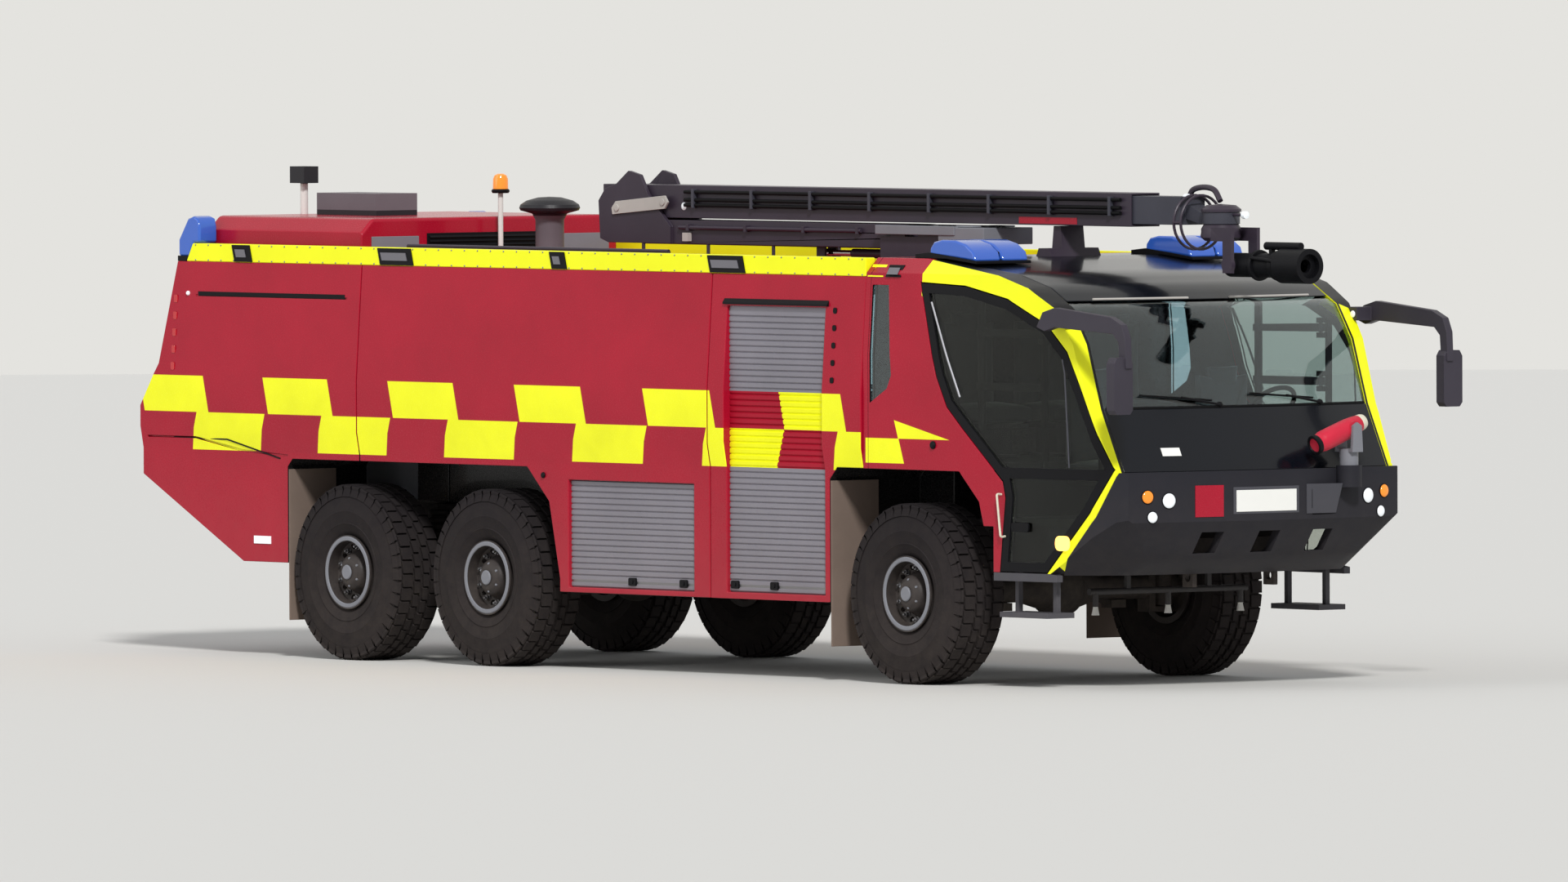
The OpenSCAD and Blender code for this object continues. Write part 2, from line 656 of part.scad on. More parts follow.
// Slots in the bumper's lower face: from the middle to each slot, its width and its heights
slot_y = [-100, 430];
slot_w = 200;
slot_z = [1010, 1170];
module bumper() color([0.23, 0.23, 0.25]) from_front_axle() {
    difference() {
        bumper_form(0);
        bumper_form(70);
        across(-side_y, side_y) polygon(concat([[0, 0], [1720, 0]], bumper_back,
            [[2350, front_low + 10], [0, front_low + 10]]));
        // Way for the frame's front end and the towing eyes
        block([1700, -frame_w / 2 - 60, 0], [frame_front + 20, frame_w / 2 + 60, rail_top]);
        both_sides() for (l = bumper_lamps) bumper_lamp(l, seat_gap);
        both_sides() for (y = slot_y)
            block([2200, y, slot_z[0]], [past_nose, y + slot_w, slot_z[1]]);
        // Winch hatch
        block([bow_x(500) - 12, 370, 1280], [nose_x + 10, 640, 1490]);
    }
    // Round seat of the bumper's nozzle
    translate([monitor_x, monitor_y, 1480]) cylinder(h = 160, r = 95);
}
// Short nozzles under the front of the cab, on one pipe that hangs from the frame
spray_x = 1300;
spray_z = 705;
module ground_nozzles() color(grey) from_front_axle() {
    for (y = [-700, 0, 700]) translate([spray_x, y, spray_z - 115]) {
        cylinder(h = 110, r = 22);
        translate([0, 0, -60]) cylinder(h = 60, r1 = 30, r2 = 18);
    }
    bar([spray_x, -760, spray_z], [spray_x, 760, spray_z], 24);
    // Hangers up to the rails
    both_sides() block([spray_x - 15, rail_y - 60, spray_z],
                       [spray_x + 15, rail_y - 20, rail_top - rail_h - seat_gap]);
}
module mud_flaps() color([0.45, 0.42, 0.4]) from_front_axle() both_sides() {
    for (f = [[rear_arch_back, 290, rear_arch_z - 80], [front_arch_back, 260, front_arch_z - 100]])
        block([f[0] + 0.3, 1010, f[1]], [f[0] + 15, side_y - skirt_in - 10, f[2]]);
}
module steps() color(grey) from_front_axle() both_sides() {
    intersection() {
        cab_shell();
        across(screen_y, side_y) polygon(sill_line);
    }
    block([1080, 1180, 530], [1640, 1440, 570]);
    for (x = [1120, 1560]) block([x, 1280, 570], [x + 40, 1320, bumper_low + 20]);
}
// Deep shell of a mirror's arm in side view, from the pillar to the head
mirror_line = [[1690, 2690], [1760, 2800], [1900, 2835], [2540, 2775], [2670, 2720], [2715, 2620],
               [2725, 2400], [2650, 2400], [2635, 2590], [2570, 2650], [1900, 2690], [1780, 2660]];
module mirrors() color(dark) from_front_axle() both_sides() difference() {
    union() {
        across(1520, 1580) polygon(mirror_line);
        // Root on the pillar
        block([1690, 1380, 2690], [1850, 1530, 2790]);
        // Head
        along(2620, 2710) polygon([[1500, 2090], [1525, 2060], [1655, 2060], [1680, 2090],
                                   [1680, 2440], [1655, 2480], [1525, 2480], [1500, 2440]]);
    }
    cab_form(-seat_gap);
}

// Steering knuckle: kingpin, swivel body and stub axle
module knuckle() color(dark) from_front_axle() {
    translate([0, kingpin_y, hub_z]) {
        cylinder(h = 2 * yoke_z + 8, r = kingpin_r, center = true);
        cylinder(h = 2 * yoke_z - 90, r = 78, center = true);
    }
    axle_bar(0, kingpin_y + 10, kingpin_y + 112, hub_z, 100);
    axle_bar(0, kingpin_y + 108, kingpin_y + 160, hub_z, 195);
    axle_bar(0, kingpin_y + 150, stub_end, hub_z, stub_r);
}
module knuckle_l() knuckle();
module knuckle_r() mirror([0, 1, 0]) knuckle();

// Tyre standing round its own axis at the hub: radius and place across, from the inner bead
module tyre(x) color(black) from_front_axle() translate([x, track / 2, hub_z])
    rotate([90, 0, 0]) difference() {
        rotate_extrude($fn = 36) polygon([
            for (s = [-1, 1]) for (p = s < 0 ? tyre_line : reversed(tyre_line)) [p[0], s * p[1]]]);
        // Notches between the shoulder lugs, set by half a lug from one side to the other
        for (s = [-1, 1], i = [0 : lug_n - 1]) rotate([0, 0, (i + (s + 1) / 4) * 360 / lug_n])
            translate([tyre_r - lug_h, -28, s > 0 ? tyre_w / 2 - 110 : -tyre_w / 2])
                cube([lug_h * 2, 56, 110]);
    }
tyre_line = [[bead_r, tyre_w / 2 - 60], [bead_r + 150, tyre_w / 2],
             [tyre_r - 60, tyre_w / 2 - 12], [tyre_r, tyre_w / 2 - 60]];
function reversed(line) = [for (i = [len(line) - 1 : -1 : 0]) line[i]];
module rim(x) color(dark) from_front_axle() translate([x, track / 2, hub_z])
    rotate([-90, 0, 0]) difference() {
        rotate_extrude() polygon([
            [barrel_r, -tyre_w / 2 + 20], [bead_r + 22, -tyre_w / 2 + 20],
            [bead_r + 22, -tyre_w / 2 + 34], [bead_r - 0.3, -tyre_w / 2 + 58],
            [bead_r - 0.3, tyre_w / 2 - 58], [bead_r + 22, tyre_w / 2 - 34],
            [bead_r + 22, tyre_w / 2 - 20], [barrel_r + 6, tyre_w / 2 - 20],
            [barrel_r, 110], [170, 80], [150, 120], [130, 165], [90, 195], [0, 205],
            [0, 95], [stub_r + 1, 95], [stub_r + 1, -20], [115, -20], [115, 60], [180, 50],
            [barrel_r, 60]]);
        for (a = [0 : 36 : 359]) rotate([0, 0, a]) translate([203, 0, 0])
            cylinder(h = 200, r = 20);
    }
module tyre_front_l() tyre(0);
module tyre_front_r() mirror([0, 1, 0]) tyre(0);
module tyre_middle_l() tyre(middle_x);
module tyre_middle_r() mirror([0, 1, 0]) tyre(middle_x);
module tyre_rear_l() tyre(rear_x);
module tyre_rear_r() mirror([0, 1, 0]) tyre(rear_x);
module rim_front_l() rim(0);
module rim_front_r() mirror([0, 1, 0]) rim(0);
module rim_middle_l() rim(middle_x);
module rim_middle_r() mirror([0, 1, 0]) rim(middle_x);
module rim_rear_l() rim(rear_x);
module rim_rear_r() mirror([0, 1, 0]) rim(rear_x);

column_x = 760;
column_y = 1330;
arm_z = [2200, 2600];
module door_arm() color(steel) from_front_axle() {
    for (z = arm_z) difference() {
        union() {
            block([column_x, column_y - 20, z], [column_x + arm_r, column_y + 20, z + 60]);
            translate([column_x, column_y, z]) cylinder(h = 60, r = 42);
            translate([column_x + arm_r, column_y, z]) cylinder(h = 60, r = 32);
        }
        translate([column_x + arm_r, column_y, z - 1]) cylinder(h = 62, r = 15);
    }
    // Upright that turns between the floor and the roof
    bar([column_x, column_y, front_arch_z + 70 + seat_gap], [column_x, column_y, cab_top - cab_t - 115], 30);
}
module door_arm_l() door_arm();
module door_arm_r() mirror([0, 1, 0]) door_arm();
// Upper and lower windows of the door, inside its frame
door_frame = 70;
module door_lights(inset) offset(delta = -inset) difference() {
    offset(delta = -door_frame) polygon(door_line);
    translate([0, 1560]) square([2400, 80]);
}
module door_glass() color([0.1, 0.12, 0.16]) from_front_axle() intersection() {
    glass_sheet(15);
    across(screen_y, side_y) door_lights(seat_gap);
}
module door_glass_l() door_glass();
module door_glass_r() mirror([0, 1, 0]) door_glass();
module door() color(dark) from_front_axle() {
    difference() {
        intersection() {
            cab_shell();
            across(screen_y + door_gap, side_y) polygon(door_line);
        }
        across(screen_y - 10, side_y + 10) door_lights(0);
    }
    // Inner post between the door's middle rail and its top, with the brackets for the arms
    block([column_x + arm_r + 37, column_y + 10, 1600], [column_x + arm_r + 67, side_y - 115, 2690]);
    for (z = arm_z) {
        translate([column_x + arm_r, column_y, z - 6]) cylinder(h = 72, r = 14);
        for (side = [-46, 66])
            block([column_x + arm_r - 30, column_y - 20, z + side],
                  [column_x + arm_r + 50, column_y + 30, z + side + 40]);
    }
}
module door_l() door();
module door_r() mirror([0, 1, 0]) door();

pivot_x = -turn_x - lift_x;
elbow_x = pivot_x - lower_l;
ring_h = 20;
cheek_y = lower_w / 2 + 10;
module turntable() color(grey) from_front_axle() {
    deck = side_top + ring_h + 0.5;
    translate([-turn_x, 0, deck]) cylinder(h = 40, r = turn_r);
    both_sides() {
        block([-turn_x - 330, cheek_y, deck + 40], [-turn_x + 480, cheek_y + 40, lift_z]);
        axle_bar(pivot_x, cheek_y, cheek_y + 40, lift_z, 85);
        // Ears beside the pivot for the lift cylinder
        block([barrel_eye[0] - 36, 45, deck + 30], [barrel_eye[0] + 36, 65, barrel_eye[2]]);
        axle_bar(barrel_eye[0], 45, 65, barrel_eye[2], 36);
    }
    block([-turn_x + 120, -cheek_y - 40, deck + 40], [-turn_x + 520, cheek_y + 40, 3370]);
    axle_bar(pivot_x, -cheek_y - 10, cheek_y + 10, lift_z, pin_r);
    axle_bar(barrel_eye[0], -50, 50, barrel_eye[2], 16);
}
module lower_boom() color(dark) from_front_axle() difference() {
    union() {
        block([elbow_x + 280, -lower_w / 2, lift_z - lower_h / 2],
              [pivot_x, lower_w / 2, lift_z + lower_h / 2]);
        axle_bar(pivot_x, -lower_w / 2, lower_w / 2, lift_z, lower_h / 2);
        both_sides() across(upper_w / 2 + 10, upper_w / 2 + 40) polygon([
            [elbow_x - 160, lift_z - 60], [elbow_x - 60, lift_z - lower_h / 2],
            [elbow_x + 700, lift_z - lower_h / 2], [elbow_x + 700, lift_z + 40],
            [elbow_x + 420, elbow_z + 60], [elbow_x + 330, elbow_z + 200],
            [elbow_x + 190, elbow_z + 230], [elbow_x + 40, elbow_z + 130],
            [elbow_x - 100, elbow_z + 90], [elbow_x - 180, elbow_z]]);
        axle_bar(elbow_x, -upper_w / 2 - 20, upper_w / 2 + 20, elbow_z, pin_r);
        rod_ears();
    }
    axle_bar(pivot_x, -lower_w, lower_w, lift_z, pin_r + 1);
}
// Ears under the lower boom that take the lift cylinder's rod
module rod_ears() both_sides()
    block([rod_eye[0] - 50, 45, rod_eye[2] - 45], [rod_eye[0] + 50, 65, lift_z - lower_h / 2]);
module upper_boom() color(dark) from_front_axle() difference() {
    union() {
        difference() {
            block([elbow_x - 170, -upper_w / 2, elbow_z - upper_h / 2],
                  [upper_end, upper_w / 2, elbow_z + upper_h / 2]);
            block([elbow_x + 400, -upper_w / 2 + boom_t, elbow_z - upper_h / 2 + boom_t],
                  [upper_end + 10, upper_w / 2 - boom_t, elbow_z + upper_h / 2 - boom_t]);
        }
    }
    axle_bar(elbow_x, -upper_w, upper_w, elbow_z, pin_r + 1);
}
inner_y = upper_w / 2 - boom_t - slide_gap;
inner_z = upper_h / 2 - boom_t - slide_gap;
module telescope() color(grey) from_front_axle() {
    block([upper_end - 4300, -inner_y, elbow_z - inner_z], [head_x - 330, inner_y, elbow_z + inner_z]);
    // Runner pads at the inner end, above and below
    for (z = [elbow_z + inner_z - 1, elbow_z - inner_z - slide_gap + seat_gap])
        block([upper_end - 4300, -60, z], [upper_end - 4100, 60, z + slide_gap + 1 - seat_gap]);
    across(-70, 70) polygon([[head_x - 330, elbow_z + 60], [head_x - 330, elbow_z - 60],
                             [head_x - 170, swivel_z], [head_x - 120, swivel_z],
                             [head_x - 120, swivel_z + swivel_h],
                             [head_x - 170, swivel_z + swivel_h]]);
    difference() {
        translate([head_x, 0, swivel_z]) cylinder(h = swivel_h, r = 140);
        translate([head_x, 0, swivel_z - 1]) cylinder(h = swivel_h + 2, r = 71);
    }
}
nozzle_z = 3130;
swivel_z = 3430;
swivel_h = 90;
module turret_head() color(dark) from_front_axle() {
    // Swivel in the boom's end ring, with a domed cap above and a round housing below
    translate([head_x, 0, nozzle_z + 175]) rotate_extrude() polygon([
        [0, 0], [120, 0], [150, 25], [150, 90], [130, swivel_z - nozzle_z - 176],
        [70, swivel_z - nozzle_z - 176], [70, swivel_z + swivel_h + 1 - nozzle_z - 175],
        [150, swivel_z + swivel_h + 1 - nozzle_z - 175],
        [150, swivel_z + swivel_h + 20 - nozzle_z - 175],
        [110, swivel_z + swivel_h + 50 - nozzle_z - 175],
        [0, swivel_z + swivel_h + 60 - nozzle_z - 175]]);
    // Water pipes that bend from the housing to the nozzle's trunnions
    both_sides() translate([head_x, 120, nozzle_z + 200])
        rotate([90, 0, 0]) rotate_extrude(angle = 180) translate([70, 0]) circle(r = 18);
    both_sides() {
        block([head_x + 40, 110, nozzle_z + 175], [head_x + 280, 140, nozzle_z + 275]);
        block([head_x + 180, 110, nozzle_z - 60], [head_x + 280, 140, nozzle_z + 275]);
        axle_bar(head_x + 230, 108, 141, nozzle_z, 60);
    }
}
module turret_nozzle() color(black) from_front_axle() difference() {
    union() {
        bar([head_x + 120, 0, nozzle_z], [nozzle_tip - 200, 0, nozzle_z], 90);
        bar([nozzle_tip - 300, 0, nozzle_z], [nozzle_tip, 0, nozzle_z], 130);
        axle_bar(head_x + 230, -107.7, 107.7, nozzle_z, 50);
    }
    bar([nozzle_tip - 260, 0, nozzle_z], [nozzle_tip + 10, 0, nozzle_z], nozzle_bore / 2 + 30);
}

// Lift cylinder between the turntable and the lower boom
barrel_eye = [pivot_x - 80, 0, lift_z - 140];
rod_eye = [pivot_x - 1100, 0, lift_z - 140];
function toward(a, b, d) = a + (b - a) * d / norm(b - a);
module lift_barrel() color(steel) from_front_axle() {
    difference() {
        union() {
            bar(toward(barrel_eye, rod_eye, 20), toward(barrel_eye, rod_eye, 700), 36);
            axle_bar(barrel_eye[0], -40, 40, barrel_eye[2], 42);
        }
        axle_bar(barrel_eye[0], -60, 60, barrel_eye[2], 17);
        // Bore that the rod slides in
        bar(toward(barrel_eye, rod_eye, 200), toward(barrel_eye, rod_eye, 720), 24.5);
    }
}
module lift_rod() color(grey) from_front_axle() {
    bar(toward(barrel_eye, rod_eye, 230), rod_eye, 24);
    axle_bar(rod_eye[0], -38, 38, rod_eye[2], 34);
}

// Bumper nozzle on its swivel base; it is stowed across the bumper, its mouth a little down
trunnion_z = 1915;
stow_drop = 20;
module front_monitor() color(grey) from_front_axle() translate([monitor_x, monitor_y, 0]) {
    translate([0, 0, 1640.5]) cylinder(h = 120, r = 70);
    along(-102, 102) polygon([[-50, 1740], [50, 1740], [50, 1765], [-50, 1765]]);
    for (s = [-1, 1]) along(s * 90 - 12, s * 90 + 12) polygon([
        [-50, 1765], [50, 1765], [40, trunnion_z + 20], [0, trunnion_z + 45],
        [-40, trunnion_z + 20]]);
}
module front_nozzle() color(red) from_front_axle()
    translate([monitor_x, monitor_y, trunnion_z]) rotate([stow_drop, 0, 0]) {
        rotate([0, 90, 0]) cylinder(h = 155.4, r = 55, center = true);
        // Padded sleeve over the barrel, from its back end to its mouth
        rotate([90, 0, 0]) translate([0, 0, -150]) rotate_extrude() polygon([
            [0, 0], [48, 0], [56, 20], [62, 50], [70, 100], [76, 160], [78, 310], [78, 420],
            [70, 450], [66, 500], [0, 500]]);
    }

frame();
towing_eyes();
axles();
suspension();
driveline();
engine();
rear_module();
mid_module();
locker_module();
shutters();
roof_edges();
roof_cover();
roof_fittings();
lamps();
cab_floor();
cab_roof();
cab_rear_wall();
cab_sides();
cab_arcs();
cab_front();
cab_glass();
seats();
dashboard();
bumper();
ground_nozzles();
mud_flaps();
steps();
mirrors();
knuckle_l();
knuckle_r();
tyre_front_l();
tyre_front_r();
tyre_middle_l();
tyre_middle_r();
tyre_rear_l();
tyre_rear_r();
rim_front_l();
rim_front_r();
rim_middle_l();
rim_middle_r();
rim_rear_l();
rim_rear_r();
door_arm_l();
door_arm_r();
door_l();
door_r();
door_glass_l();
door_glass_r();
turntable();
lower_boom();
lift_barrel();
lift_rod();
upper_boom();
telescope();
turret_head();
turret_nozzle();
front_monitor();
front_nozzle();
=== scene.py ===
"""Airport fire truck: paint, livery, glass, lamps, tyres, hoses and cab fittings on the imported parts."""
import math

import bmesh
import bpy
from mathutils import Matrix, Vector


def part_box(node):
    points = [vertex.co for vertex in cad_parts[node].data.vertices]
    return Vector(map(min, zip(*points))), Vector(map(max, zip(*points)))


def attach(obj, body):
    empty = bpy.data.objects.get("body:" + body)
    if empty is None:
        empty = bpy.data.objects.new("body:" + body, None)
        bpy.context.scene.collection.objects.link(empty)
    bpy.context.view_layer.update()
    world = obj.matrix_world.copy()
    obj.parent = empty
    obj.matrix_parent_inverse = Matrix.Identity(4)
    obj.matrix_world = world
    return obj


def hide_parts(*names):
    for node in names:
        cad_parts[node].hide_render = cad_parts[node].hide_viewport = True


bl_info = {
    "name": "Airport fire truck finish",
    "version": (1, 0, 0),
    "blender": (4, 5, 0),
    "location": "View3D > Sidebar > Fire Truck",
    "description": "Dresses the packed parts of an airport fire truck",
    "category": "Object",
}

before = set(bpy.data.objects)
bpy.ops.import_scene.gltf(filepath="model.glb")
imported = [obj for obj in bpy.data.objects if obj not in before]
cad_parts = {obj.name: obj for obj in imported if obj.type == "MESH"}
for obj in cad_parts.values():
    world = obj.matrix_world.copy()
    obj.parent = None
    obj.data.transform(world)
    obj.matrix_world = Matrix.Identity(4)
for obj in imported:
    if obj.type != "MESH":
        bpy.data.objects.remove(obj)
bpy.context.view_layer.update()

# The front axle's place along the truck, read from its rim; lengths below are metres from there
RIM_LOW, RIM_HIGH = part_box("rim_front_l")
AXLE_X = (RIM_LOW.x + RIM_HIGH.x) / 2
TYRE_LOW, TYRE_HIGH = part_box("tyre_front_l")
HUB_Z = (TYRE_LOW.z + TYRE_HIGH.z) / 2
WHEEL_Y = (TYRE_LOW.y + TYRE_HIGH.y) / 2
WHEELS = [  # corner, place along the truck from the front axle, side
    (corner, x - AXLE_X, side)
    for corner in ("front", "middle", "rear")
    for side, x in (
        (1, sum(c.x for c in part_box(f"rim_{corner}_l")) / 2),
        (-1, sum(c.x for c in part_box(f"rim_{corner}_r")) / 2),
    )
]
SIDE = {1: ("l", "left"), -1: ("r", "right")}

# Heights of the livery's band and of the body's top edge
BELT_LOW, BELT_MID, BELT_TOP = 1.58, 1.87, 2.15
SIDE_TOP = 3.03
NOSE_RADIUS = 6.5  # the bow of nose and bumper, seen from above
BESIDE, AHEAD = 2.5, 4.5  # where rays start, clear of the truck
DRESS_TURN = 32  # degrees past which an edge of a CAD part counts as sharp


def side_y(z):
    """Half the body's width at a height above the band, where its sides lean in."""
    return 1.5 - 0.06 * (z - BELT_TOP) / (SIDE_TOP - BELT_TOP)


def bow(x, y):
    """A place on the bowed nose, from its place on the middle plane."""
    return x - NOSE_RADIUS + math.sqrt(NOSE_RADIUS * NOSE_RADIUS - y * y)


def reach(names, start, way):
    """Where a ray first meets the named CAD parts, in metres from the front axle."""
    origin = Vector(start) + Vector((AXLE_X, 0, 0))
    met = []
    for name in names.split():
        hit, place, _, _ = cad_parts[name].ray_cast(origin, Vector(way))
        if hit:
            met.append(place)
    if not met:
        raise RuntimeError(f"nothing of {names} lies from {start} towards {way}")
    place = min(met, key=lambda p: (p - origin).length)
    return place - Vector((AXLE_X, 0, 0))


def left_y(names, x, z):
    """The left side of CAD parts at a place along the truck and a height."""
    return reach(names, (x, BESIDE, z), (0, -1, 0)).y


def front_x(names, y, z):
    """The front of CAD parts at a place across the truck and a height."""
    return reach(names, (AHEAD, y, z), (-1, 0, 0)).x


def on_side(names, line, out=0.0):
    """Points on the left side of CAD parts, from (x, z) pairs, moved outwards."""
    return [(x, left_y(names, x, z) + out, z) for x, z in line]


def on_front(names, line, out=0.0):
    """Points on the front of CAD parts, from (y, z) pairs, moved forwards."""
    return [(front_x(names, y, z) + out, y, z) for y, z in line]


def direction(turn, rise):
    """A direction away from the truck, from its angle round it and its height angle."""
    return Vector((math.sin(turn) * math.cos(rise), -math.cos(turn) * math.cos(rise), math.sin(rise)))


def spin(degrees, axis):
    """A turn about an axis."""
    return Matrix.Rotation(math.radians(degrees), 3, axis)


def polar(radius, degrees):
    """A point on a circle round the origin."""
    return radius * math.cos(math.radians(degrees)), radius * math.sin(math.radians(degrees))


def circle(middle, across, axis, radius, sides):
    """Points on a circle about an axis, the first one straight across."""
    third = axis.cross(across)
    turns = [2 * math.pi * i / sides for i in range(sides)]
    return [middle + (across * math.cos(a) + third * math.sin(a)) * radius for a in turns]


def rectangle(xa, za, xb, zb):
    """A rectangle's outline, from two opposite corners."""
    return [(xa, za), (xb, za), (xb, zb), (xa, zb)]


def rounded(width, height, radius, steps=4):
    """A rounded rectangle's outline round the origin."""
    points = []
    for cx, cy, start in ((1, 1, 0), (-1, 1, 90), (-1, -1, 180), (1, -1, 270)):
        for i in range(steps + 1):
            u, v = polar(radius, start + 90 * i / steps)
            points.append((cx * (width / 2 - radius) + u, cy * (height / 2 - radius) + v))
    return points


def smooth_path(points, steps):
    """A smooth curve through points."""
    points = [Vector(p) for p in points]
    ends = [2 * points[0] - points[1]] + points + [2 * points[-1] - points[-2]]
    out = []
    for a, b, c, d in zip(ends, ends[1:], ends[2:], ends[3:]):
        square, cube = 2 * a - 5 * b + 4 * c - d, 3 * b - a - 3 * c + d
        for t in (i / steps for i in range(steps)):
            out.append(0.5 * (2 * b + (c - a) * t + square * t * t + cube * t ** 3))
    return out + [points[-1]]


def round_edges(obj, width, steps, degrees):
    """Rounds the edges that turn past an angle."""
    edge = obj.modifiers.new("Rounded edges", "BEVEL")
    edge.width = width
    edge.segments = steps
    edge.limit_method = "ANGLE"
    edge.angle_limit = math.radians(degrees)
    edge.harden_normals = True


# Meshes


class Solids:
    """Closed solids gathered into one mesh, in metres from the front axle's middle on the ground."""

    def __init__(self):
        self.bm = bmesh.new()

    def add(self, corners, faces):
        verts = [self.bm.verts.new(c) for c in corners]
        for face in faces:
            self.bm.faces.new([verts[i] for i in face])

    def box(self, low, high):
        (xa, ya, za), (xb, yb, zb) = low, high
        self.add(
            [(x, y, z) for x in (xa, xb) for y in (ya, yb) for z in (za, zb)],
            [(0, 1, 3, 2), (4, 6, 7, 5), (0, 4, 5, 1), (2, 3, 7, 6), (0, 2, 6, 4), (1, 5, 7, 3)],
        )

    def drawn(self, corners):
        """Two outlines, one after the other, closed by a face each and joined by walls."""
        count = len(corners) // 2
        faces = [tuple(range(count)), tuple(range(2 * count - 1, count - 1, -1))]
        faces += [(i, i + count, (i + 1) % count + count, (i + 1) % count) for i in range(count)]
        self.add(corners, faces)

    def prism(self, outline, axis, low, high):
        """An outline in the two other axes, in their order, drawn from low to high along an axis."""
        self.drawn([
            {"x": (place, a, b), "y": (a, place, b), "z": (a, b, place)}[axis]
            for place in (low, high) for a, b in outline
        ])

    def slab(self, middle, size, radius, axis, low, high, steps=4):
        """A prism whose outline is a rounded rectangle round a middle."""
        outline = [(middle[0] + a, middle[1] + b) for a, b in rounded(*size, radius, steps)]
        self.prism(outline, axis, low, high)

    def plate(self, outline, way, low, high):
        """A flat or curved outline of points, given its thickness along a direction from low to high."""
        self.drawn([Vector(p) + Vector(way) * place for place in (low, high) for p in outline])

    def side_plate(self, names, outline, low, high):
        """A plate on the left side of CAD parts, from an outline of (x, z) pairs."""
        self.plate(on_side(names, outline), (0, 1, 0), low, high)

    def front_plate(self, names, outline, low, high):
        """A plate on the front of CAD parts, from an outline of (y, z) pairs."""
        self.plate(on_front(names, outline), (1, 0, 0), low, high)

    def turned(self, profile, centre, axis, sides):
        """A profile of (radius, place along the axis) turned about an axis; open ends meet on it."""
        axis, centre = Vector(axis).normalized(), Vector(centre)
        across = Vector((0, 0, 1)) - axis * axis.z
        if across.length < 1e-4:
            across = axis.orthogonal()
        across.normalize()
        rings = []
        for radius, place in profile:
            middle = centre + axis * place
            points = [middle] if radius < 1e-6 else circle(middle, across, axis, radius, sides)
            rings.append([self.bm.verts.new(p) for p in points])
        pairs = list(zip(rings, rings[1:]))
        if len(rings[0]) > 1 and len(rings[-1]) > 1:
            pairs.append((rings[-1], rings[0]))
        for a, b in pairs:
            for i in range(sides):
                j = (i + 1) % sides
                loop = [a[i % len(a)], a[j % len(a)], b[j % len(b)], b[i % len(b)]]
                loop = [v for k, v in enumerate(loop) if v not in loop[:k]]
                if len(loop) > 2:
                    self.bm.faces.new(loop)

    def dome(self, radius, depth, centre, way, sides):
        """A shallow lens standing on its rim."""
        profile = [(0.0, 0.0), (1.0, 0.0), (1.0, 0.25), (0.93, 0.55), (0.7, 0.85), (0.35, 0.97), (0.0, 1.0)]
        self.turned([(radius * r, depth * d) for r, d in profile], centre, way, sides)

    def tube(self, points, radius, sides):
        """A round bar, pipe or hose along points, closed at its ends."""
        points = [Vector(p) for p in points]
        rings = []
        across = None
        for i, point in enumerate(points):
            ahead = (points[min(i + 1, len(points) - 1)] - points[max(i - 1, 0)]).normalized()
            if across is None:
                across = ahead.orthogonal().normalized()
            across = (across - ahead * ahead.dot(across)).normalized()
            rings.append([self.bm.verts.new(p) for p in circle(point, across, ahead, radius, sides)])
        for a, b in zip(rings, rings[1:]):
            for i in range(sides):
                j = (i + 1) % sides
                self.bm.faces.new([a[i], a[j], b[j], b[i]])
        self.bm.faces.new(rings[0])
        self.bm.faces.new(rings[-1][::-1])

    def panel(self, grid, thickness):
        """A sheet through a grid of points, given a thickness against its normals by y and x."""
        rows, cols = len(grid), len(grid[0])
        front = [[Vector(p) for p in row] for row in grid]
        back = []
        for i in range(rows):
            line = []
            for j in range(cols):
                u = front[min(i + 1, rows - 1)][j] - front[max(i - 1, 0)][j]
                v = front[i][min(j + 1, cols - 1)] - front[i][max(j - 1, 0)]
                line.append(front[i][j] + u.cross(v).normalized() * thickness)
            back.append(line)
        a = [[self.bm.verts.new(p) for p in row] for row in front]
        b = [[self.bm.verts.new(p) for p in row] for row in back]
        for i in range(rows - 1):
            for j in range(cols - 1):
                self.bm.faces.new([a[i][j], a[i + 1][j], a[i + 1][j + 1], a[i][j + 1]])
                self.bm.faces.new([b[i][j], b[i][j + 1], b[i + 1][j + 1], b[i + 1][j]])
        for i in range(rows - 1):
            self.bm.faces.new([a[i][0], b[i][0], b[i + 1][0], a[i + 1][0]])
            self.bm.faces.new([a[i][-1], a[i + 1][-1], b[i + 1][-1], b[i][-1]])
        for j in range(cols - 1):
            self.bm.faces.new([a[0][j], a[0][j + 1], b[0][j + 1], b[0][j]])
            self.bm.faces.new([a[-1][j], b[-1][j], b[-1][j + 1], a[-1][j + 1]])

    def mesh(self, mesh, place=(0, 0, 0), turn=None):
        """A copy of another mesh, turned about the origin and then moved."""
        first = len(self.bm.verts)
        self.bm.from_mesh(mesh)
        self.bm.verts.ensure_lookup_table()
        for vert in self.bm.verts[first:]:
            point = vert.co if turn is None else turn @ vert.co
            vert.co = point + Vector(place)

    def both_sides(self):
        """Repeats everything so far on the other side of the middle plane."""
        everything = self.bm.verts[:] + self.bm.edges[:] + self.bm.faces[:]
        copied = bmesh.ops.duplicate(self.bm, geom=everything)
        for item in copied["geom"]:
            if isinstance(item, bmesh.types.BMVert):
                item.co.y = -item.co.y

